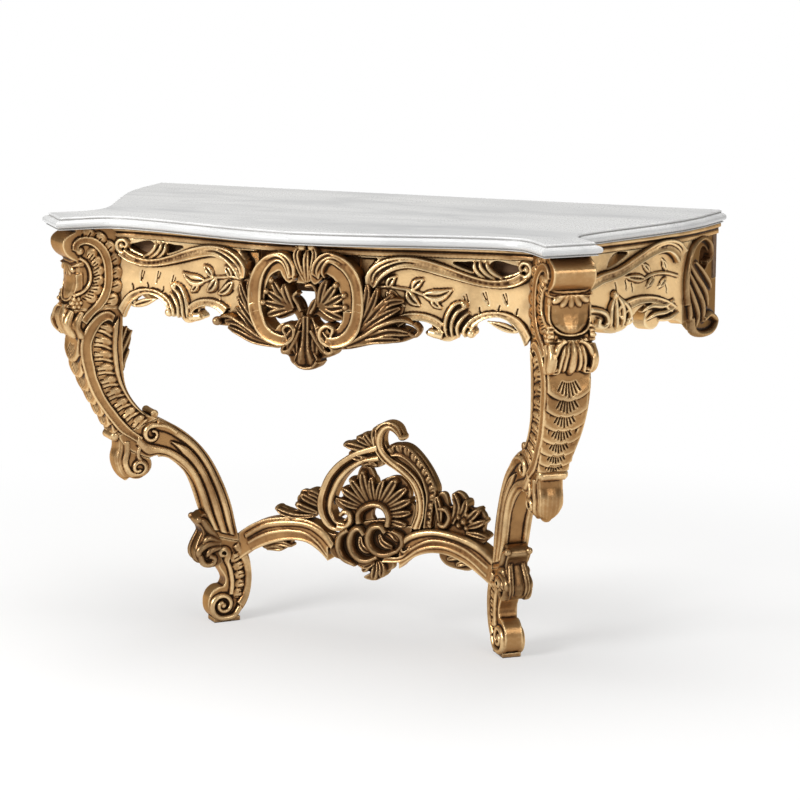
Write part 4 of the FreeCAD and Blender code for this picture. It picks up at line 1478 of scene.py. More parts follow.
@dataclass
class Cornice(Assembly):
    """The two-membered moulding under the marble.

    Attributes:
        height: How far it stands out.
        sink: How far it goes into the solid.
        voxel: Size of the finest detail kept.
    """

    height: float = 0.009
    sink: float = 0.02
    voxel: float = 0.0016

    def run(self, surface: Surface, node: str, start: float, end: float) -> Carving:
        """Runs the moulding along one solid.

        Args:
            surface: The face that it follows.
            node: The solid.
            start: Where it starts, as the surface's first coordinate.
            end: Where it ends.

        Returns:
            The carving.
        """
        across = np.linspace(start, end, 80)
        foot = np.column_stack([across, np.full_like(across, APRON_TOP + 0.001)])
        top = np.column_stack([across, np.full_like(across, FRAME_TOP - 0.0005)])
        made = Carving(surface).solid(node)
        made.ribbon(foot, top, self.height, Profile.CORNICE, self.sink)
        return made

    def build(self) -> None:
        """Builds the front and the sides."""
        reach = float(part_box("cornice_front")[1][0]) - 0.006
        self.shop.single(self.run(FRONT, "cornice_front", -reach, reach), "cornice_front", voxel=self.voxel)
        low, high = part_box("cornice_side_right")
        side = self.run(SIDE, "cornice_side_right", float(low[1]) + 0.008, float(high[1]) - 0.001)
        self.shop.pair(side, "cornice_side", voxel=self.voxel, made="right")


@dataclass
class Apron(Assembly):
    """What the front and the side aprons have in common.

    Attributes:
        surface: The face that the carving is laid on.
        band: Height of the S-shaped band.
        edge: Height of the border of the lower edge.
        rib: Height of small leaves.
        seen: Height at which the traces were seen.
    """

    surface: Surface
    band: float = 0.011
    edge: float = 0.008
    rib: float = 0.006
    seen: float = 0.005

    def t(self, pixels: Pixels) -> Array:
        """Carries pixels onto the apron."""
        return self.surface.trace(pixels, self.seen)

    def ribs(self, made: Carving, wide: float, height: float, ribs: Sequence[Pixels]) -> None:
        """Adds leaf ribs of some width in pixels, each traced from root to tip."""
        for rib in ribs:
            made.finger(self.t(rib), wide * PX, height)

    def leaves(self, made: Carving, height: float, leaves: Sequence[tuple]) -> None:
        """Adds pointed leaves, each given as base, tip and width in pixels."""
        for base, tip, wide in leaves:
            made.almond(*self.t([base, tip]), wide * PX, height)


@dataclass
class FrontApron(Apron):
    """The apron's left wing, mirrored to the right."""

    surface: Surface = FRONT

    def build(self) -> None:
        """Carves the wing."""
        t = self.t
        wing = Carving(FRONT).solid("front_apron_left")
        wing.plate(
            t([(205, 262), (252, 262), (252, 318), (222, 318), (216, 309), (208, 305), (205, 304)]), -0.02,
            0.0
        )
        upper = [
            (126, 249), (133, 254), (141, 257), (150, 259), (162, 258), (176, 254), (190, 249),
            (204, 245.5), (216, 245), (228, 248), (238, 254), (245, 262), (248, 270), (247, 278)
        ]
        lower = [
            (119, 254), (127, 260), (137, 264), (148, 266), (162, 265.5), (176, 263), (190, 260),
            (203, 257), (214, 256), (223, 259), (230, 264), (236, 271), (239, 277), (241, 279)
        ]
        wing.ribbon(t(upper), t(lower), self.band + 0.004, Profile.HOLLOW)
        self.ribs(wing, 3.4, self.band + 0.006, (
            [(200, 250), (216, 249), (230, 255), (240, 265), (243, 278)],
            [(204, 254), (217, 253), (228, 259), (236, 268), (241, 278)]
        ))
        ring = [(130, 255), (122, 253), (116.5, 247), (118, 241), (124, 239.5), (127.5, 244), (125, 248)]
        wing.stroke(t(ring), [7 * PX, 4 * PX], self.band, Profile.ROUND)
        wing.ball(t([(121.5, 245.5)])[0], 3.5 * PX, self.band)
        wing.ribbon(
            t([(118, 308), (125, 297), (133, 291), (145, 288.5), (158, 291), (168, 298), (172, 305)]),
            t([(124, 318), (128, 308), (135, 299), (146, 294), (157, 297), (165, 304), (168, 310)]),
            self.edge, Profile.HOLLOW
        )
        wing.ball(t([(168.5, 312.5)])[0], 4.5 * PX, self.edge + 0.003)
        wing.ribbon(
            t([(186, 311), (192, 303), (200, 299.5), (210, 299), (220, 302), (228, 308)]),
            t([(191, 315), (196, 309.5), (203, 306.5), (211, 307), (218, 310.5), (223, 316)]), self.edge,
            Profile.HOLLOW
        )
        self.ribs(wing, 4.6, self.edge + 0.003, (
            [(174, 283), (181, 287), (186, 297), (188, 308), (187, 318)],
            [(172, 288), (179, 294), (183, 305), (183, 318)],
            [(170, 293), (175, 299), (179, 308), (178, 318)],
            [(168, 299), (171, 304), (174, 311), (173, 317)]
        ))
        wing.ball(t([(173, 286)])[0], 4 * PX, self.edge + 0.002)
        wing.stroke(t([(190, 318), (195, 317), (201, 316)]), [8 * PX, 9 * PX, 7 * PX], [0.01, 0.012, 0.008])
        wing.tick(
            [t(line) for line in (
                [(141, 271), (140, 276), (140, 281)], [(143, 272), (142, 275), (141, 279)],
                [(157, 272), (156, 277), (155, 283)], [(159, 273), (158, 276), (157, 279)],
                [(172, 276), (171, 281), (170, 286)], [(174, 278), (173, 281), (172, 284)],
                [(131, 284), (132, 287), (132, 289)], [(146, 283), (147, 286), (147, 288)],
                [(162, 287), (162, 290), (161, 292)]
            )]
        )
        wing.cuts.append(Cut(
            FRONT,
            t([(239, 251), (262, 252), (262, 262), (253, 276), (249, 273), (246, 262)]), 0.0, 0.02
        ))
        wing.stroke(t([(243, 280), (232, 277), (222, 277.5), (213, 278), (204, 281)]), 2.6 * PX, 0.004)
        for base, tip, wide, bend in (
            ((204, 281), (182, 272.5), 11, 0.12), ((212, 277), (203, 265.5), 7.5, -0.1),
            ((231, 278), (224, 265.5), 7.5, -0.1), ((216, 279), (206, 292), 8.5, 0.1),
            ((232, 282), (217, 294.5), 8, 0.1), ((198, 283), (190, 292), 6, 0.1)
        ):
            wing.almond(*t([base, tip]), wide * PX * 1.15, self.rib + 0.002, bend)
        self.leaves(wing, self.rib, (((131, 306), (156, 299), 8), ((128, 300), (140, 296), 5)))
        self.ribs(wing, 4.6, self.edge, (
            [(143, 257), (149, 254), (154, 249), (156, 243)],
            [(148, 259), (155, 255), (160, 249), (161, 243)],
            [(154, 260), (161, 256), (165, 250), (165, 244)]
        ))
        self.shop.pair(wing, "front_apron", Finish.FIELD)


@dataclass
class Cartouche(Assembly):
    """The pierced middle of the apron, with its sprays.

    Attributes:
        base: Height of the boards' faces off the apron's face.
        scroll: Height of the scrolls above that.
        rib: Height of leaf ribs above that.
        cut: Share of the boards that is left behind the leaves.
    """

    base: float = 0.016
    scroll: float = 0.008
    rib: float = 0.007
    cut: float = 0.3

    def t(self, pixels: Pixels) -> Array:
        """Carries pixels onto the boards' faces."""
        return FRONT.trace(pixels, self.base)

    @property
    def low(self) -> float:
        """Height of the faces of the boards that were cut down."""
        return self.base * self.cut

    @property
    def deep(self) -> float:
        """Height of the leaves above those faces."""
        return self.rib + self.base * (1 - self.cut)

    def lobes(self, made: Carving, sink: float, lobes: Sequence[tuple[Pixels, float]]) -> None:
        """Adds broad leaf lobes, each traced from root to tip and with its width in pixels."""
        for path, wide in lobes:
            made.leaf(self.t(path), wide * PX, self.deep, sink, self.low)

    def scrolls(self) -> None:
        """Carves the four scrolls."""
        t, base, tall = self.t, self.base, self.scroll
        uppers = {
            "left": (
                [
                    (252, 314), (250.5, 306), (250, 298), (251, 284), (255, 270), (262, 260), (271, 254),
                    (281, 252), (290, 256), (296, 265), (297, 275)
                ],
                [
                    (264, 310), (263, 302), (263, 294), (264, 282), (267, 272), (272, 265), (278, 261),
                    (283, 263), (286, 268), (288, 274), (289, 279)
                ],
                [(266, 260), (276, 255), (285, 258), (290, 267), (291, 278)],
                [(270, 256), (281, 253), (290, 258), (295, 268), (294, 279)]
            ),
            "right": (
                [
                    (362.8, 314), (363.3, 306), (363, 298), (361, 284), (356, 271), (348, 261), (338, 255),
                    (328, 252), (319, 256), (313, 264), (312, 274)
                ],
                [
                    (351.5, 312), (352, 304), (352, 296), (350, 284), (345, 274), (338, 267), (331, 263),
                    (326, 265), (323, 269), (321, 274), (320, 279)
                ],
                [(346, 264), (334, 257), (324, 260), (318, 269), (318, 279)],
                [(340, 264), (331, 260), (325, 265), (323, 272), (325, 278)]
            )
        }
        for side, (outer, inner, *strands) in uppers.items():
            upper = Carving(FRONT).solid(f"cartouche_upper_scroll_{side}")
            upper.ribbon(t(outer), t(inner), tall, Profile.HOLLOW, BOARD_SINK, base)
            for strand in strands:
                upper.finger(t(strand), 4 * PX, tall + 0.003, BOARD_SINK, base)
            self.shop.single(upper, f"cartouche_upper_scroll_{side}")
        lowers = {
            "left": (
                [
                    (250.3, 303), (252, 314), (254.5, 322), (258, 330), (265, 339), (274, 344), (283, 346),
                    (290, 343)
                ],
                [
                    (263, 300), (264, 310), (266, 318), (269, 325), (275, 331), (281, 334), (285, 335),
                    (287, 334)
                ],
                [(287, 344), (294, 338), (295, 329), (289, 325), (284, 329), (287, 334)],
                [0.012, 0.011, 0.010, 0.008]
            ),
            "right": (
                [
                    (363.3, 304), (362.8, 314), (361, 323), (358, 333), (350, 343), (341, 347), (332, 348),
                    (325, 344)
                ],
                [
                    (352, 302), (351.5, 312), (350, 320), (346, 329), (340, 335), (334, 337), (329, 337),
                    (327, 336)
                ],
                [(328, 346), (321, 340), (320, 331), (326, 326), (333, 329), (331, 336)],
                [0.012, 0.012, 0.011, 0.008]
            )
        }
        for side, (outer, inner, curl, widths) in lowers.items():
            lower = Carving(FRONT).solid(f"cartouche_lower_scroll_{side}")
            lower.ribbon(t(outer), t(inner), tall, Profile.HOLLOW, BOARD_SINK, base)
            lower.stroke(t(curl), widths, 0.012, Profile.ROUND, BOARD_SINK, base - 0.004)
            self.shop.single(lower, f"cartouche_lower_scroll_{side}")

    def crown(self) -> None:
        """Carves the three leaves at the top."""
        crown = Carving(FRONT).solid("cartouche_crown", self.cut)
        self.lobes(crown, BOARD_SINK, (
            ([(304, 282), (299, 267), (297, 254), (301, 246)], 7),
            ([(306, 283), (306, 266), (307, 250)], 7.5),
            ([(308, 282), (313, 266), (315, 254), (312, 246)], 7)
        ))
        for spot in self.t([(302, 247), (311, 247)]):
            crown.ball(spot, 3.6 * PX, 0.008, self.base)
        self.shop.single(crown, "cartouche_crown")

    def pendant(self) -> None:
        """Carves the husk at the bottom."""
        t, low, deep = self.t, self.low, self.deep
        husk = Carving(FRONT).solid("cartouche_pendant", self.cut)
        self.lobes(husk, BOARD_SINK, (
            ([(299, 330), (292, 343), (289, 354)], 8), ([(312, 330), (320, 344), (325, 355)], 8),
            ([(298, 324), (289, 337), (282, 348)], 8.5), ([(313, 324), (324, 337), (333, 348)], 8.5),
            ([(302, 345), (299, 356), (296, 363)], 6.5), ([(309, 345), (314, 356), (318, 363)], 6.5),
            ([(301, 318), (296, 335), (297, 355)], 9), ([(310, 318), (315, 335), (315, 355)], 9)
        ))
        husk.ribbon(
            t([(302, 316), (302, 330), (301, 345), (299, 356), (297, 364)]),
            t([(310, 316), (310, 330), (311, 345), (314, 356), (317, 364)]),
            [deep, deep, deep + 0.002, deep + 0.006, deep + 0.002], Profile.SPOON, BOARD_SINK, low
        )
        husk.stroke(
            t([(297, 362), (302, 366.5), (308, 367.5), (314, 366), (318, 361)]), 5.5 * PX, deep + 0.006,
            Profile.ROUND, BOARD_SINK, low
        )
        for path in (
            [(301, 330), (295, 343), (289, 352), (284, 350), (286, 345)],
            [(311, 330), (319, 344), (327, 354), (333, 351), (330, 346)]
        ):
            husk.stroke(
                t(path), [5 * PX, 7 * PX, 6 * PX, 4 * PX], deep + 0.002, Profile.ROUND, BOARD_SINK, low
            )
        self.shop.single(husk, "cartouche_pendant", Finish.FOLIAGE)

    def inner_leaves(self) -> None:
        """Carves the leaves inside the scrolls, each with a tendril across the opening."""
        t, low, deep = self.t, self.low, self.deep
        for side, root, tendril, ribs in (
            ("left", (292, 309), [(300, 312), (297, 304), (293, 297), (297, 292)], (
                [(288, 299), (284, 284)], [(282, 296), (273, 280)], [(281, 300), (268, 291)],
                [(281, 306), (265, 302)], [(282, 311), (268, 315)]
            )),
            ("right", (318, 308), [(304, 286), (312, 286), (316, 295), (314, 305), (309, 314)], (
                [(321, 294), (326, 280)], [(327, 297), (336, 285)], [(330, 303), (344, 295)],
                [(332, 309), (345, 307)], [(328, 313), (342, 319)]
            ))
        ):
            leaf = Carving(FRONT).solid(f"cartouche_leaf_{side}", self.cut)
            for rib in ribs:
                leaf.leaf(t([root, *rib]), 9 * PX, deep, BOARD_SINK, low)
            for rib in ribs[1:4]:
                leaf.ball(t([rib[-1]])[0], 3 * PX, 0.008, low + deep * 0.8)
            leaf.stroke(t(tendril), 4.6 * PX, 0.012, Profile.ROUND, 0.004, low)
            self.shop.single(leaf, f"cartouche_leaf_{side}", Finish.FOLIAGE)

    def sprays(self) -> None:
        """Carves the acanthus on both sides."""
        t, low, deep = self.t, self.low, self.deep
        left = Carving(FRONT)
        left.plate(
            t([
                (284, 348), (262, 343), (247, 335), (236, 329), (226, 327), (217, 326), (214, 320),
                (219, 315), (228, 313), (236, 309), (237, 300), (234, 290), (237, 282), (244, 279),
                (252, 279), (253, 300), (258, 322), (268, 338)
            ]),
            -0.022, low
        )
        self.lobes(left, LEAF_SINK, (
            ([(266, 332), (254, 314), (247, 298), (241, 282)], 8),
            ([(262, 326), (255, 308), (252, 292), (249, 279)], 7),
            ([(270, 338), (255, 322), (246, 309), (238, 296)], 8),
            ([(274, 342), (256, 329), (246, 316), (236, 307)], 7.5),
            ([(278, 347), (256, 341), (242, 333), (229, 327)], 8),
            ([(282, 347), (258, 335), (241, 323), (226, 321)], 9)
        ))
        left.finger(
            t([(284, 346), (262, 337), (245, 324), (231, 316), (219, 318)]), 6 * PX, deep + 0.003,
            LEAF_SINK, low
        )
        left.ball(t([(218, 321)])[0], 4.6 * PX, 0.012, self.base - 0.003)
        self.shop.single(left, "acanthus_spray_left", Finish.FOLIAGE)
        right = Carving(FRONT).solid("acanthus_spray_right", self.cut)
        self.lobes(right, LEAF_SINK, (
            ([(356, 330), (362, 312), (366, 296), (366, 284)], 8),
            ([(354, 334), (365, 316), (372, 302), (376, 288)], 8),
            ([(352, 338), (368, 320), (380, 306), (391, 295)], 8.5),
            ([(350, 340), (368, 325), (384, 315), (398, 308)], 8.5),
            ([(356, 333), (374, 314), (388, 303), (402, 301)], 9),
            ([(350, 346), (370, 341), (386, 340), (398, 340)], 8),
            ([(345, 347), (368, 338), (388, 332), (408, 334)], 9.5)
        ))
        right.finger(
            t([(340, 347), (362, 336), (380, 325), (400, 320), (415, 327)]), 7.5 * PX, deep + 0.003,
            LEAF_SINK, low
        )
        right.stroke(
            t([(412, 324), (417, 330), (413, 336), (407, 333)]), 5 * PX, deep, Profile.ROUND, LEAF_SINK, low
        )
        self.shop.single(right, "acanthus_spray_right", Finish.FOLIAGE)

    def build(self) -> None:
        """Carves the whole cartouche."""
        self.scrolls()
        self.crown()
        self.pendant()
        self.inner_leaves()
        self.sprays()


@dataclass
class Leg(Assembly):
    """The left leg from the corner block to the foot, mirrored to the right.

    Attributes:
        band: Height of raised bands.
        lobe: Height of ruffles and lobes.
        scale: Height of the overlapping scales.
        rows: Number of scale rows.
        knee_line: The knee's front in the leg's side view, in millimetres back and up, from the top down.
        block_line: The corner block's front, given the same way.
        shin_line: The shin's front, given the same way.
    """

    band: float = 0.006
    lobe: float = 0.006
    scale: float = 0.011
    rows: int = 7
    knee_line: Pairs = (
        (23, 700), (21.7, 690), (17.6, 674), (23.4, 654), (32.4, 636), (34, 612), (42.6, 570), (63.6, 523),
        (93.5, 465), (118, 423)
    )
    block_line: Pairs = (
        (33, 849), (18, 842), (7, 830), (6, 818), (12, 804), (24, 792), (36, 786), (38, 770), (39, 745),
        (35, 725), (27, 710), (23, 692)
    )
    shin_line: Pairs = (
        (199, 372), (215, 373), (232, 367), (254, 352), (274, 333), (290, 310), (300, 283), (311, 248),
        (315, 237)
    )

    def sides(self, made: Carving, half: float = 0.0) -> Iterator[LegSide]:
        """Turns a carving to each of the leg's two side faces.

        Args:
            made: The carving.
            half: Half of a fixed width, or nought for the taper.

        Yields:
            The face that the traces are seen on.
        """
        for sign in (1, -1):
            made.on(LegSide(sign, half))
            yield LegSide(1, half)

    def roll(self, made: Carving, centre: Array, reach: float, radius: float) -> None:
        """Adds a small roll that lies across the leg, with a button at each end.

        Args:
            made: The carving.
            centre: Its place in the leg's side view, as distance back and height.
            reach: Half of its length.
            radius: Its radius.
        """
        turn = np.linspace(0, 2 * math.pi, 20, endpoint=False)
        rings = []
        for v, share in (
            (-1.0, 0.55), (-0.97, 0.9), (-0.9, 1.0), (-0.5, 0.92), (0.0, 0.9), (0.5, 0.92), (0.9, 1.0),
            (0.97, 0.9), (1.0, 0.55)
        ):
            u, z = centre[0] + radius * share * np.cos(turn), centre[1] + radius * share * np.sin(turn)
            rings.append(LEG.at(u, np.full_like(u, v * reach), z))
        made.loft(np.stack(rings))

    def block(self) -> None:
        """Carves the corner block."""
        made = Carving(FRONT).solid("corner_block_left")
        for seen in self.sides(made, LEG.half):
            outer = seen.trace([
                (72, 250), (73, 243), (80, 237), (92, 237), (102, 243), (109, 253), (112, 266), (112, 282),
                (109, 296), (103, 306), (94, 314), (86, 324)
            ])
            inner = seen.trace([
                (77, 252), (78, 247), (84, 244), (92, 246), (99, 253), (103, 264), (104, 276), (103, 288),
                (99, 297), (93, 305), (86, 312), (80, 320)
            ])
            made.ribbon(outer, inner, self.band, Profile.HOLLOW)
            made.ball(seen.trace([(79.5, 251)])[0], 4.2 * PX, self.lobe + 0.002)
            rim = seen.trace([(79, 258), (86, 263), (90, 273), (89, 284), (82, 292), (73, 296)])
            made.stroke(rim, 3.4 * PX, self.band)
            lumps = seen.trace([(87, 256), (92, 262), (94.5, 273), (93, 285), (88, 294), (82, 299)])
            made.fringe(lumps, inner[3:10], 6, self.lobe - 0.002, (1.0,), 0.0, 0.1)
            made.ticks(lumps, inner[3:10], 16, 0.45)
            border = seen.trace([
                (84, 228), (94, 229), (104, 234), (113, 242), (119, 253), (122, 266), (122.5, 280),
                (120, 293), (115, 304)
            ])
            made.fringe(outer[2:10], border, 7, 0.0055)
            made.ticks(outer[2:10], border, 15, 0.5)
            heart = seen.trace([(76, 303)])[0]
            for turn in np.linspace(0, 2 * math.pi, 6, endpoint=False):
                petal = heart + 6.5 * PX * np.array([math.cos(turn), math.sin(turn)])
                made.finger(np.array([heart, (heart + petal) / 2, petal]), 5 * PX, self.lobe + 0.001)
            made.ball(heart, 2.6 * PX, self.lobe + 0.003)
        front = LegFront(self.block_line)
        made.on(front)
        top, foot = front.mark(0.79), front.mark(0.704)
        made.stroke(
            np.array([[0.0, top], [0.0, (top + foot) / 2], [0.0, foot]]),
            [0.076, 0.084, 0.086, 0.082, 0.066, 0.024], [0.006, 0.011, 0.013, 0.013, 0.011, 0.005]
        )
        rim = np.array([
            (-0.041, 0.35), (-0.040, 0.72), (-0.028, 0.93), (0.0, 1.0), (0.028, 0.93), (0.040, 0.72),
            (0.041, 0.35)
        ])
        made.stroke(rim * [1, foot - top] + [0, top], 0.005, 0.008)
        for angle in np.linspace(-1.3, 1.3, 7):
            way = np.array([math.sin(angle), 0.8 * math.cos(angle)])
            root = np.array([0.0, top + 0.004])
            made.finger(
                np.array([root + 0.008 * way, root + 0.026 * way, root + 0.046 * way]), 0.015, 0.006,
                LEAF_SINK, 0.0085
            )
        made.stroke(
            np.array([[-0.03, foot + 0.01], [0.0, foot + 0.016], [0.03, foot + 0.01]]), 0.013, 0.009
        )
        self.shop.pair(made, "corner_block", voxel=0.0014)

    def knee(self) -> None:
        """Carves the upper scroll."""
        made = Carving(FRONT).solid("knee_scroll_left")
        for seen in self.sides(made):
            outer = seen.trace([
                (140, 444), (130, 438), (120, 432), (112, 423), (105, 414), (98, 404), (92, 394), (87, 382),
                (84, 372), (81, 360), (80, 346), (83, 334), (89, 323), (98, 314), (108, 311), (115, 315)
            ])
            inner = seen.trace([
                (142, 437), (132, 430), (122, 420), (115, 411), (109, 403), (104, 395), (100, 386),
                (96, 376), (94, 366), (92, 357), (91, 346), (93, 338), (97, 330), (102, 323), (108, 320),
                (112, 322)
            ])
            made.ribbon(outer, inner, self.band, Profile.HOLLOW)
            channel = seen.trace([
                (104, 322), (97, 333), (94.5, 345), (94.5, 357), (97, 368), (100, 379), (104, 389),
                (109, 398), (115, 407), (122, 416), (131, 425), (141, 432)
            ])
            groove = [(112, 338), (112, 350), (113, 362), (115, 374), (119, 385), (124, 394), (131, 404)]
            ridge = seen.trace([(113, 325), *groove, (140, 413), (148, 419)])
            made.fringe(channel, ridge, 9, self.lobe - 0.0015, (0.7, 0.3), 0.15, 0.1)
            made.ticks(channel, ridge, 27, 0.42, 0.01)
            rear = seen.trace([
                (119, 316), (118, 330), (117, 345), (118, 360), (120, 375), (124, 387), (130, 398),
                (138, 408), (147, 416)
            ])
            made.ribbon(rear, seen.trace([(113, 326), *groove, (141, 413)]), self.band)
            for rib in ([(82, 312), (76, 327), (84, 340)], [(72, 311), (67.5, 325), (75, 338)]):
                made.finger(seen.trace(rib), 9 * PX, self.lobe + 0.003)
        self.roll(made, LegSide(1, 0.03).trace([(155, 414)])[0], 0.03, 0.0085)
        front = LegFront(self.knee_line)
        made.on(front)
        self.scales(made, front)
        self.roll(made, front.line[-6] + [0.004, 0.0], 0.026, 0.010)
        self.husk(made, front)
        self.shop.pair(made, "knee_scroll")

    def scales(self, made: Carving, front: LegFront) -> None:
        """Covers the knee's front with rows of overlapping scales, each with a fan cut into it.

        Args:
            made: The carving.
            front: The knee's front.
        """
        start, end = front.mark(0.636), front.length - 0.012
        steps = start + (end - start) * (1 - (1 - np.linspace(0, 1, self.rows + 1)) ** 1.2)
        across = np.linspace(-1, 1, 17)
        for row, (low, high) in enumerate(zip(steps, steps[1:])):
            half = float(LEG.width(np.array(front.height(low)))) + 0.001
            sag = 0.017 - 0.0015 * row
            bow = sag * (1 - np.abs(across) ** 2.2) + 0.002 * np.exp(-((across / 0.12) ** 2))
            upper = np.column_stack([across * half, low + bow])
            lower = np.column_stack([across * half, high + bow + 0.002])
            made.ribbon(upper, lower, self.scale * (1 - 0.5 * across**2), Profile.STEP)
            fan = []
            for share in np.linspace(-0.5, 0.5, 7):
                spot = low + sag * (1 - abs(share) ** 2.2)
                root = np.array([share * half * 0.6, spot + (high - low) * 0.2])
                tip = np.array([share * half, spot + (high - low) * (0.85 - 0.5 * abs(share))])
                fan.append(np.array([root, (root + tip) / 2, tip]))
            made.tick(fan, 0.0042, 0.0042)

    def husk(self, made: Carving, front: LegFront) -> None:
        """Lays leaves and two curls over the top of the scales.

        Args:
            made: The carving.
            front: The knee's front.
        """
        high, low = front.mark(0.698), front.mark(0.634)
        tall = low - high
        made.finger(np.array([[0.0, high], [0.0, high + 0.5 * tall], [0.0, low + 0.004]]), 0.022, 0.015)
        for sign in (-1, 1):
            for root, middle, tip, wide in ((0.006, 0.015, 0.014, 0.014), (0.012, 0.024, 0.022, 0.012)):
                rib = [[sign * root, high], [sign * middle, high + 0.55 * tall], [sign * tip, low - 0.002]]
                made.finger(np.array(rib), wide, 0.013)
            curl = np.array([
                [0.014, 0.02], [0.030, 0.22], [0.041, 0.5], [0.043, 0.75], [0.036, 0.96], [0.026, 0.9],
                [0.026, 0.72]
            ])
            made.stroke(curl * [sign, tall] + [0, high], [0.013, 0.013, 0.012, 0.011, 0.008], 0.014)
            made.ball((sign * 0.033, high + 0.8 * tall), 0.006, 0.014)

    def knee_leaf(self) -> None:
        """Carves the leaf behind the knee."""
        half = LEG.reach("knee_leaf_left")
        made = Carving(FRONT).solid("knee_leaf_left")
        for seen in self.sides(made, half):
            for rib in (
                [(118, 374), (121, 354), (127, 340), (132, 330)],
                [(118, 366), (119, 349), (123, 336), (127, 326)], [(120, 374), (124, 360), (129, 349)]
            ):
                made.finger(seen.trace(rib), 5 * PX, 0.005)
        self.shop.pair(made, "knee_leaf", Finish.FOLIAGE)

    def knee_volute(self) -> None:
        """Carves the volute that hangs below the knee."""
        half = LEG.reach("knee_volute_left")
        made = Carving(FRONT).solid("knee_volute_left")
        for seen in self.sides(made, half):
            path = seen.trace([(127, 441), (127, 452), (125, 462), (128, 471), (135, 477)])
            path = made.spiral(path, tuple(seen.trace([(139, 468)])[0]), 1.2, 0.3)
            made.stroke(path, [0.014, 0.012, 0.011, 0.009, 0.007], self.band, Profile.ROUND)
            made.stroke(seen.trace([(140, 446), (138, 455), (141, 461)]), 0.009, 0.005)
            made.ball(seen.trace([(115, 436)])[0], 4.5 * PX, 0.006)
        front = LegFront([
            (100, 428), (110, 420), (124, 416), (126, 395), (121, 374), (123, 358), (131, 342), (146, 330)
        ])
        made.on(front)
        made.stroke(np.array([[-half, 0.014], [0.0, 0.014], [half, 0.014]]), 0.02, 0.009)
        made.stroke(np.array([[0.0, 0.02], [0.0, 0.05], [0.0, 0.08], [0.0, 0.125]]), half * 1.95, 0.011)
        low = float(corners(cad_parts["knee_volute_left"].data)[:, 2].min())
        made.cuts.append(RoundedEnd(low + 0.036, low))
        self.shop.pair(made, "knee_volute")

    def shin(self) -> None:
        """Carves the lower scroll."""
        made = Carving(FRONT).solid("shin_scroll_left")
        for seen in self.sides(made):
            upper = seen.trace([
                (158, 419), (170, 424), (180, 431), (190, 438), (200, 448), (210, 463), (218, 479),
                (224, 493), (229, 509), (232, 523), (235, 535)
            ])
            edge = [
                (168, 455), (178, 461), (187, 469), (194, 479), (199, 491), (204, 507), (207, 516),
                (213, 530)
            ]
            lower = seen.trace([(147, 456), (153, 454), (160, 453), *edge])
            # The middle moulding starts a few stations below the upper one.
            count, start = 40, 6
            upper, lower = smooth(upper, count), smooth(lower, count)
            made.ribbon(upper, upper + (lower - upper) * 0.27, self.band)
            swell = np.minimum(1.0, np.linspace(0.05, 6.0, count - start))[:, None]
            spine = (upper + (lower - upper) * 0.5)[start:]
            half = (lower - upper)[start:] * 0.17 * swell
            made.ribbon(spine - half, spine + half, self.band)
            border = seen.trace([
                (138, 434), (148, 443), (159, 446), (170, 449), (181, 455), (190, 463), (198, 474),
                (204, 487), (209, 502), (213, 515), (219, 530)
            ])
            made.ribbon(border, seen.trace([(136, 444), (147, 454), (158, 453), *edge]), self.band)
            eye = tuple(seen.trace([(152, 434)])[0])
            path = made.spiral(seen.trace([(176, 432), (166, 426), (156, 425)]), eye, 1.1, 0.3)
            made.stroke(path, [0.012, 0.011, 0.009, 0.007], self.band + 0.002)
        front = LegFront(self.shin_line)
        made.on(front)
        marks = np.linspace(0.006, front.length, 12)
        for share in (-0.8, 0.8):
            rail = [[share * float(LEG.width(np.array(front.height(mark)))), mark] for mark in marks]
            made.stroke(np.array(rail), 0.008, 0.004)
        self.shop.pair(made, "shin_scroll")

    def ankle_leaf(self) -> None:
        """Carves the leaf on the ankle."""
        half = LEG.reach("ankle_leaf_left")
        made = Carving(FRONT).solid("ankle_leaf_left")
        for seen in self.sides(made, half):
            for rib, wide in (
                ([(218, 538), (210, 530), (204, 522), (198, 519)], 8),
                ([(220, 541), (209, 538), (203, 543)], 7),
                ([(221, 543), (208, 544), (199, 551), (200, 559)], 8),
                ([(221, 547), (211, 550), (206, 557)], 7)
            ):
                made.finger(seen.trace(rib), wide * PX, 0.008)
            made.stroke(
                seen.trace([(200, 556), (204, 564), (212, 564), (214, 558), (209, 556)]), 6 * PX, 0.008
            )
            made.ball(seen.trace([(199, 520)])[0], 3.6 * PX, 0.007)
        front = LegFront([
            (297, 228), (306, 215), (304, 196), (294, 172), (289, 155), (293, 140), (304, 129)
        ])
        made.on(front)
        made.stroke(np.array([[-half, 0.012], [0.0, 0.012], [half, 0.012]]), 0.016, 0.008)
        made.finger(np.array([[0.0, 0.018], [0.0, 0.045], [0.0, 0.07], [0.0, 0.105]]), half * 1.1, 0.005)
        for v in (-half * 0.88, -half * 0.62, half * 0.62, half * 0.88):
            made.finger(
                np.array([[v * 0.7, 0.02], [v * 0.85, 0.045], [v, 0.075], [v * 0.9, 0.1]]), half * 0.3,
                0.008
            )
        self.shop.pair(made, "ankle_leaf", Finish.FOLIAGE)

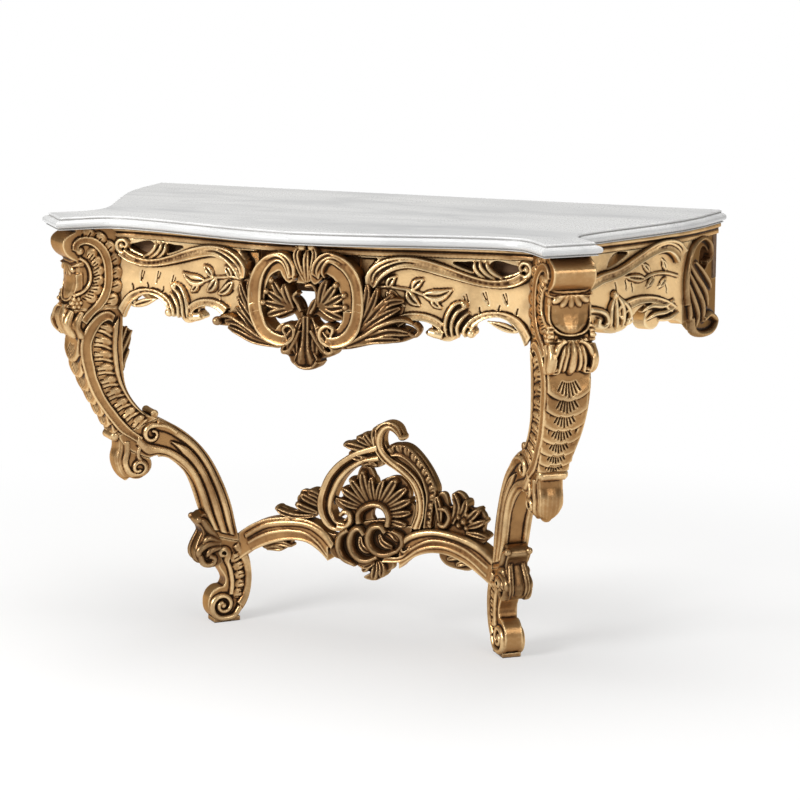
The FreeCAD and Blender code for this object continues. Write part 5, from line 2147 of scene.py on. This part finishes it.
    def foot(self) -> None:
        """Carves the foot and its plinth."""
        made = Carving(FRONT).solid("foot_scroll_left")
        for seen in self.sides(made):
            outer = seen.trace([
                (239, 541), (246, 552), (250, 563), (251.5, 573), (251, 585), (248, 597), (243, 607)
            ])
            inner = seen.trace([
                (233, 547), (239, 556), (243, 565), (245, 574), (244.5, 584), (242, 594), (237, 602)
            ])
            made.ribbon(outer, inner, self.band)
            eye = tuple(seen.trace([(223, 605)])[0])
            path = made.spiral(seen.trace([(240, 606), (234, 615), (224, 618)]), eye, 1.5, 0.22)
            made.stroke(path, [0.013, 0.012, 0.01, 0.008], self.band + 0.001)
            made.ball(eye, 3.5 * PX, self.band + 0.001)
            eye = tuple(seen.trace([(223, 553)])[0])
            path = made.spiral(seen.trace([(231, 594), (232, 582), (230, 569), (226, 559)]), eye, 1.0, 0.3)
            made.stroke(path, [0.010, 0.010, 0.008], self.band)
            root = seen.trace([(229, 556), (233, 566), (235, 576), (235, 586), (232, 597)])
            tip = seen.trace([(237, 551), (242, 562), (244, 574), (243.5, 585), (240, 597)])
            made.fringe(root, tip, 5, 0.004)
            made.ticks(tip, root, 11, 0.6)
        self.shop.pair(made, "foot_scroll")
        self.shop.pair(Carving(FRONT).solid("foot_plinth_left"), "foot_plinth")

    def build(self) -> None:
        """Carves the whole leg."""
        self.block()
        self.knee()
        self.knee_leaf()
        self.knee_volute()
        self.shin()
        self.ankle_leaf()
        self.foot()


@dataclass
class SideApron(Apron):
    """The right side apron and its rear panel, mirrored to the left."""

    surface: Surface = SIDE

    def side(self) -> None:
        """Carves the apron."""
        t = self.t
        side = Carving(SIDE).solid("side_apron_right")
        over, under = t([(603, 273)])[0], t([(602, 284)])[0]
        side.ribbon(
            np.vstack([
                [(-0.128, over[1] + 0.008), (-0.09, over[1] - 0.008)],
                t([(603, 273), (620, 267), (640, 253), (655, 243), (668, 239), (679, 241), (686, 249)])
            ]),
            np.vstack([
                [(-0.136, under[1] + 0.006), (-0.09, under[1] - 0.012)],
                t([(602, 284), (620, 277), (640, 264), (655, 255), (666, 252), (673, 256), (677, 263)])
            ]),
            self.band + 0.002, Profile.HOLLOW
        )
        curl = np.array([
            (-0.125, -0.004), (-0.145, 0.006), (-0.151, 0.024), (-0.138, 0.034), (-0.126, 0.025),
            (-0.133, 0.014)
        ])
        side.stroke(curl + [0.0, over[1]], [0.018, 0.014, 0.010], self.band + 0.002)
        side.finger(
            t([(648, 253), (660, 245), (670, 243), (679, 249), (682, 258)]), 4 * PX, self.band + 0.002
        )
        side.ribbon(
            t([(616, 312), (624, 303), (638, 297), (654, 296), (668, 300), (677, 306)]),
            t([(622, 319), (630, 310), (641, 304), (654, 303), (665, 307), (672, 312)]), self.edge,
            Profile.HOLLOW
        )
        self.ribs(side, 5, self.edge + 0.003, (
            [(616, 297), (612, 308), (611, 318), (612, 327)],
            [(617, 294), (617, 306), (617, 317), (618, 328)],
            [(618, 295), (623, 304), (624, 314), (624, 326)],
            [(620, 297), (628, 306), (631, 314), (629, 322)]
        ))
        side.ball(t([(616, 295)])[0], 4 * PX, self.edge + 0.004)
        side.ball(t([(630, 321)])[0], 4 * PX, self.edge + 0.002)
        side.stroke(
            t([(592, 310), (600, 311), (607, 314), (609, 321), (605, 327), (599, 325), (600, 319)]), 6 * PX,
            0.011
        )
        foot = t([(592, 310)])[0]
        side.stroke(
            np.array([(-0.145, foot[1] - 0.004), (-0.10, foot[1] + 0.002), tuple(foot)]), 6 * PX, self.edge
        )
        side.tick(
            [t(line) for line in (
                [(628, 281), (629, 285), (629, 289)], [(634, 284), (635, 288), (635, 291)],
                [(618, 283), (619, 287), (619, 291)], [(668, 284), (669, 288), (669, 292)]
            )]
        )
        self.leaves(side, self.rib, (
            ((647, 279), (627, 277), 8), ((652, 272), (644, 263), 6), ((668, 270), (664, 259), 6),
            ((656, 277), (648, 288), 6.5), ((668, 278), (660, 288), 6.5)
        ))
        side.stroke(t([(680, 276), (668, 273), (656, 274), (646, 279)]), 2.6 * PX, 0.004)
        self.ribs(side, 5, self.edge + 0.002, (
            [(676, 300), (664, 306), (652, 306), (643, 312)],
            [(678, 306), (666, 312), (656, 314), (648, 320)], [(680, 312), (670, 318), (660, 320)]
        ))
        self.shop.pair(side, "side_apron", Finish.FIELD, made="right")

    def panel(self) -> None:
        """Carves the rear panel."""
        t = self.t
        panel = Carving(SIDE).solid("rear_panel_right")
        panel.stroke(
            t([
                (688, 305), (687, 285), (689, 265), (694, 247), (703, 238), (710, 243), (711, 256),
                (706, 263)
            ]),
            [0.014, 0.013, 0.012, 0.011, 0.008], self.band
        )
        panel.stroke(
            t([(692, 318), (694, 330), (702, 334), (712, 330), (716, 320), (710, 314), (704, 319)]), 7 * PX,
            self.band
        )
        for rib, wide in (
            ([(690, 262), (697, 276), (705, 290), (709, 306)], 6),
            ([(690, 272), (697, 288), (703, 304), (704, 322)], 6),
            ([(689, 282), (694, 298), (698, 314), (697, 328)], 6),
            ([(688, 292), (690, 308), (691, 322)], 5), ([(697, 262), (705, 274), (712, 288)], 5)
        ):
            panel.finger(t(rib), wide * PX, self.edge + 0.002)
        self.shop.pair(panel, "rear_panel", Finish.FOLIAGE, made="right")

    def build(self) -> None:
        """Carves both."""
        self.side()
        self.panel()


@dataclass
class Stretcher(Assembly):
    """The stretcher's arms, boss and leaves, and the crest that stands on it.

    Attributes:
        plane: Where its middle plane stands.
        arm: Half of the arms' thickness, less the relief.
        crest: Half of the crest's thickness, less the relief.
        cut: Share of a board's thickness that is left behind its leaves.
        leaf: Height of the leaf lobes.
        core: Height off the middle plane at which the lobes start.
        bud: Height of the round buds off the middle plane.
    """

    plane: float = 0.0173
    arm: float = 0.014
    crest: float = 0.011
    cut: float = 0.5
    leaf: float = 0.015
    core: float = 0.006
    bud: float = 0.021

    def t(self, pixels: Pixels) -> Array:
        """Carries pixels onto the stretcher's front."""
        return FlatSurface(self.plane).trace(pixels, self.crest)

    def board(self, node: str) -> Carving:
        """Starts a carving on a board that is cut down on both faces."""
        return Carving(FlatSurface(self.plane)).solid(node, self.cut, self.cut)

    def buds(self, made: Carving, spots: Pixels, size: float) -> None:
        """Adds round buds of some radius in pixels on both faces."""
        for spot in self.t(spots):
            made.ball(spot, size * PX, self.bud)

    def lobes(self, made: Carving, lobes: Sequence[tuple[Pixels, float]]) -> None:
        """Adds leaf lobes on both faces, each traced from root to tip and with its width in pixels."""
        for path, wide in lobes:
            made.leaf(self.t(path), wide * PX, self.leaf, 0.0, self.core, True)

    def band(
        self, made: Carving, edges: tuple[Pixels, Pixels], height: float, profile: Profile, lift: float
    ) -> None:
        """Adds a moulding on both faces.

        Args:
            made: The carving.
            edges: Its two edges in pixels.
            height: Its height above the board.
            profile: Its cross-section.
            lift: Height of the board's face off the middle plane.
        """
        left, right = edges
        made.ribbon(self.t(left), self.t(right), height, profile, 0.0, lift, True)

    def curl(
        self, made: Carving, path: Pixels, width: float | Sequence[float], height: float,
        lift: float = 0.009
    ) -> None:
        """Adds a round stroke on both faces.

        Args:
            made: The carving.
            path: Its middle line in pixels.
            width: Its width, or several along it.
            height: Its height above the board.
            lift: Height of the board's face off the middle plane.
        """
        made.stroke(self.t(path), width, height, Profile.ROUND, 0.0, lift, True)

    def arms(self) -> None:
        """Carves the arms, each with a bead above a hollow."""
        for side, tall, bead, hollow in (
            ("left", 0.008, (
                [(246, 532), (258, 525), (270, 520), (292, 518.5), (312, 522), (327, 531), (336, 543)],
                [(248, 538), (260, 531), (271, 527), (291, 525.5), (309, 528), (322, 537), (332, 549)]
            ), (
                [(249, 541), (261, 534.5), (273, 530.5), (291, 529), (307, 532), (319, 541), (328, 553)],
                [(254, 550), (263, 546), (275, 542), (290, 539.5), (305, 541), (318, 547), (329, 559)]
            )),
            ("right", 0.009, (
                [
                    (411, 546), (406, 553), (400, 549), (403, 538), (417, 530.5), (438, 529), (464, 535.5),
                    (483, 545), (497, 558)
                ],
                [
                    (410, 548), (405, 550), (404, 547), (408, 542), (420, 537), (438, 535.5), (461, 542),
                    (479, 552), (493, 565)
                ]
            ), (
                [(386, 556), (402, 556), (413, 547), (430, 539.5), (448, 541), (468, 549), (489, 566)],
                [(382, 562), (402, 561), (419, 551), (435, 547.5), (451, 550), (470, 560), (487, 576)]
            ))
        ):
            arm = Carving(FlatSurface(self.plane)).solid(f"stretcher_arm_{side}")
            self.band(arm, bead, tall, Profile.ROUND, self.arm)
            self.band(arm, hollow, 0.006, Profile.HOLLOW, self.arm)
            self.shop.single(arm, f"stretcher_arm_{side}")

    def hangings(self) -> None:
        """Carves the leaves under the arms, the drop and the boss."""
        t = self.t
        for side, lobes in (
            ("left", (
                [(264, 547), (278, 543), (292, 546)], [(267, 543), (278, 540), (287, 541)],
                [(266, 549), (274, 548), (283, 549)]
            )),
            ("right", (
                [(475, 563), (462, 557), (447, 559)], [(470, 558), (461, 554), (453, 555)],
                [(473, 566), (465, 563), (456, 565)]
            ))
        ):
            leaf = self.board(f"stretcher_leaf_{side}")
            for path in lobes:
                leaf.leaf(t(path), 6.5 * PX, 0.010, 0.0, self.core, True)
            self.shop.single(leaf, f"stretcher_leaf_{side}", Finish.FOLIAGE)
        drop = self.board("stretcher_drop")
        self.lobes(drop, (
            ([(373, 559), (368, 566), (363, 571)], 8), ([(375, 560), (376, 569), (374, 579)], 9),
            ([(378, 559), (383, 567), (382, 577)], 8)
        ))
        self.shop.single(drop, "stretcher_drop", Finish.FOLIAGE)
        boss = self.board("stretcher_boss")
        for path, wide in (
            ([(350, 529), (342, 535), (340, 546), (345, 557), (357, 564)], 9),
            ([(366, 534), (361, 528), (354, 531), (351.5, 542), (356, 554), (367, 560), (379, 556)], 9.5),
            ([(387, 532), (382, 526), (373, 528), (369.5, 538), (374, 549), (385, 554), (399, 550)], 9.5),
            ([(399, 550), (404, 543), (402, 535), (394, 530)], 7)
        ):
            widths = [wide * PX * 0.7, wide * PX, wide * PX, wide * PX * 0.6]
            self.curl(boss, path, widths, 0.016, self.crest)
        for path, wide in (
            ([(361, 536), (363, 545), (371, 552)], 8), ([(380, 534), (384, 542), (394, 547)], 8),
            ([(356, 562), (366, 566), (376, 562)], 6), ([(386, 531), (394, 534), (400, 541)], 7)
        ):
            boss.leaf(t(path), wide * PX, 0.014, 0.0, 0.009, True)
        self.shop.single(boss, "stretcher_boss", Finish.FOLIAGE)

    def scrolls(self) -> None:
        """Carves the crest's ring and S-scroll."""
        ring = self.board("crest_ring")
        edges = (
            [
                (345, 531), (333, 529.5), (325, 523), (320, 513), (318.5, 503), (320, 493), (326, 477),
                (335, 465), (345, 457), (358, 450), (378, 444)
            ],
            [
                (345, 522), (338, 520), (335, 515), (333, 509), (333.5, 501), (336, 493), (342, 481),
                (350, 472), (358, 466.5), (366, 463), (380, 461)
            ]
        )
        self.band(ring, edges, 0.012, Profile.GROOVE, self.crest - 0.002)
        eye = [(338, 526), (345, 527), (351, 521.5), (350.5, 514), (345, 511), (341, 515)]
        self.curl(ring, eye, [0.016, 0.015, 0.014, 0.012, 0.009], 0.013)
        self.shop.single(ring, "crest_ring")
        scroll = self.board("crest_scroll")
        edges = (
            [
                (404, 440), (399, 427), (390, 421.5), (380, 424), (373, 434), (374, 447), (382, 460),
                (396, 470), (409, 481), (416, 496), (417, 512), (411, 528)
            ],
            [
                (400, 438), (394, 432), (388, 430), (384, 434), (383, 442), (386, 451), (394, 459),
                (407, 467), (419, 480), (425, 496), (425, 514), (421, 529)
            ]
        )
        self.band(scroll, edges, 0.014, Profile.BAND, self.crest - 0.004)
        self.buds(scroll, [(401.5, 437.5)], 4)
        self.shop.single(scroll, "crest_scroll")

    def bark(self) -> None:
        """Carves the crest's bark border, with fans on both faces."""
        t, lift = self.t, self.crest
        bark = self.board("crest_bark")
        outer = t([
            (388, 449), (397, 444), (408, 446), (418, 455), (428, 469), (435, 483), (437, 492), (434, 508),
            (432, 528)
        ])
        inner = t([
            (392, 456), (400, 456.5), (408, 461), (416, 469), (422, 478), (425, 487), (427, 497),
            (426, 511), (424, 528)
        ])
        bark.ribbon(outer, inner, 0.010, Profile.HOLLOW, 0.0, lift - 0.003, True)
        for plane, tall in ((self.plane, 0.02), (self.plane - lift, 0.010)):
            bark.on(FlatSurface(plane))
            bark.fringe(inner * 0.6 + outer * 0.4, outer, 12, tall, (0.6, 0.4), 0.1, 0.15)
        self.shop.single(bark, "crest_bark", Finish.FOLIAGE)

    def shell(self) -> None:
        """Carves the crest's shell."""
        shell = self.board("crest_shell")
        self.lobes(shell, (
            ([(366, 509), (353, 505), (339, 499)], 8), ([(367, 507), (355, 497), (342, 488)], 9),
            ([(369, 506), (359, 490), (351, 478)], 9), ([(372, 505), (366, 488), (363, 471)], 10),
            ([(375, 505), (373, 491), (372, 477)], 7.5), ([(377, 504), (380, 491), (384, 480)], 7.5),
            ([(380, 505), (390, 490), (397, 479)], 10), ([(383, 507), (396, 497), (407, 488)], 9),
            ([(386, 510), (399, 505), (411, 500)], 9), ([(388, 515), (399, 514), (411, 512)], 8),
            ([(389, 521), (398, 523), (407, 525)], 8)
        ))
        for spot in self.t([(364, 472), (397, 481), (352, 480)]):
            shell.ball(spot, 3.6 * PX, self.bud + 0.002)
        rim = [(360, 523), (360, 513), (365.5, 507), (375, 504), (384.5, 507), (389.5, 516), (388.5, 526)]
        self.curl(shell, rim, 8 * PX, 0.016)
        self.shop.single(shell, "crest_shell", Finish.FOLIAGE)

    def foliage(self) -> None:
        """Carves the leaves at the crest's top and sides."""
        top = self.board("crest_top_leaves")
        self.lobes(top, (
            ([(373, 452), (358, 447), (345, 444)], 9), ([(373, 447), (364, 440), (357, 437)], 8),
            ([(374, 448), (369, 440), (365, 433)], 7), ([(375, 448), (375, 438), (376, 427)], 8),
            ([(375, 462), (362, 458), (350, 455)], 8), ([(377, 466), (370, 462), (362, 464)], 6)
        ))
        self.buds(top, [(346, 444.5), (363, 458), (371, 463)], 3.4)
        self.shop.single(top, "crest_top_leaves", Finish.FOLIAGE)
        left = self.board("crest_foliage_left")
        self.lobes(left, (
            ([(323, 507), (312, 500), (301, 494)], 9), ([(324, 502), (317, 494), (308, 491)], 8),
            ([(318, 513), (306, 508), (296, 503)], 8.5),
            ([(314, 516), (297, 516), (284, 512), (276, 507)], 7.5),
            ([(306, 520), (290, 521), (275, 520)], 6)
        ))
        self.buds(left, [(299, 504), (278, 508), (303, 495)], 3.6)
        self.shop.single(left, "crest_foliage_left", Finish.FOLIAGE)
        right = self.board("crest_foliage_right")
        self.lobes(right, (
            ([(440, 526), (440, 509), (437, 496)], 8), ([(452, 524), (458, 507), (454, 493)], 9),
            ([(458, 520), (465, 510), (467, 500)], 8), ([(464, 524), (474, 515), (480, 509)], 8.5),
            ([(466, 528), (478, 524), (486, 521)], 8), ([(466, 533), (480, 535), (489, 538)], 7)
        ))
        self.curl(right, [(440, 508), (447, 510), (450, 518), (445, 526), (439, 523)], 6 * PX, 0.012)
        right.ball(self.t([(465, 521)])[0], 5 * PX, 0.025)
        turns = np.linspace(0, 2 * math.pi, 5, endpoint=False)
        petals = [(465 + 7 * math.cos(turn), 521 + 7 * math.sin(turn)) for turn in turns]
        self.buds(right, petals, 4)
        self.shop.single(right, "crest_foliage_right", Finish.FOLIAGE)

    def build(self) -> None:
        """Carves the stretcher and its crest."""
        self.arms()
        self.hangings()
        self.scrolls()
        self.bark()
        self.shell()
        self.foliage()


@dataclass
class Studio:
    """Floor, lights and white surroundings.

    Attributes:
        reach: How far the floor goes from the middle to each side.
    """

    reach: float = 14.0

    def build(self) -> None:
        """Builds the studio."""
        mesh = bpy.data.meshes.new("studio_floor")
        edges = [(-1, -1, 0), (1, -1, 0), (1, 1, 0), (-1, 1, 0)]
        mesh.from_pydata([Vector(edge) * self.reach for edge in edges], [], [(0, 1, 2, 3)])
        mesh.materials.append(StudioFloor().material())
        floor = bpy.data.objects.new("studio_floor", mesh)
        bpy.context.scene.collection.objects.link(floor)
        self.light("key", (-1.9, -3.6, 2.3), (0.0, 0.0, 0.5), 1.5, 130.0)
        self.light("fill", (3.4, -2.0, 2.0), (0.0, 0.0, 0.5), 1.6, 30.0)
        self.light("top", (0.0, 0.2, 3.8), (0.0, 0.0, 0.0), 3.0, 115.0)
        self.surroundings()

    def light(self, name: str, place: Spot, aim: Spot, size: float, power: float) -> None:
        """Adds one soft light.

        Args:
            name: Its name.
            place: Where it hangs.
            aim: What it points at.
            size: Its side.
            power: Its power in watts.
        """
        data = bpy.data.lights.new(name, "AREA")
        data.size = size
        data.energy = power
        lamp = bpy.data.objects.new(name, data)
        lamp.location = place
        lamp.rotation_euler = (Vector(aim) - Vector(place)).to_track_quat("-Z", "Y").to_euler()
        bpy.context.scene.collection.objects.link(lamp)

    def surroundings(self) -> None:
        """Makes the background white to the camera and softer as light."""
        world = bpy.data.worlds.new("studio")
        world.use_nodes = True
        world.node_tree.nodes.clear()
        bpy.context.scene.world = world
        graph = NodeGraph(world.node_tree)
        lit = {"Color": (1.0, 0.985, 0.96, 1), "Strength": 0.22}
        seen = {"Color": (1, 1, 1, 1), "Strength": 1.0}
        inputs = {
            0: graph.wire("ShaderNodeLightPath", "Is Camera Ray"),
            1: graph.wire("ShaderNodeBackground", 0, {}, lit),
            2: graph.wire("ShaderNodeBackground", 0, {}, seen)
        }
        graph.node("ShaderNodeOutputWorld", {}, {0: graph.wire("ShaderNodeMixShader", 0, {}, inputs)})
        bpy.context.scene.view_settings.view_transform = "Standard"


def main() -> None:
    """Builds the table piece by piece."""
    logging.basicConfig(level=logging.INFO, format="%(message)s")
    shop = Workshop()
    for kind in (MarbleTop, Cornice, FrontApron, Cartouche, Leg, SideApron, Stretcher):
        LOG.info("%s", kind.__name__)
        kind(shop).build()
    rails = ["rear_rail", "front_rail", "centre_bearer", "glue_block_left", "glue_block_right"]
    shop.carry(rails, Finish.BARE_WOOD)
    dowels = ["leg_dowels_left", "leg_dowels_right", "stretcher_dowel_left", "stretcher_dowel_right"]
    shop.carry(dowels, Finish.DOWEL_WOOD)
    Studio().build()
    CAMERA.add()


if __name__ == "__main__":
    main()
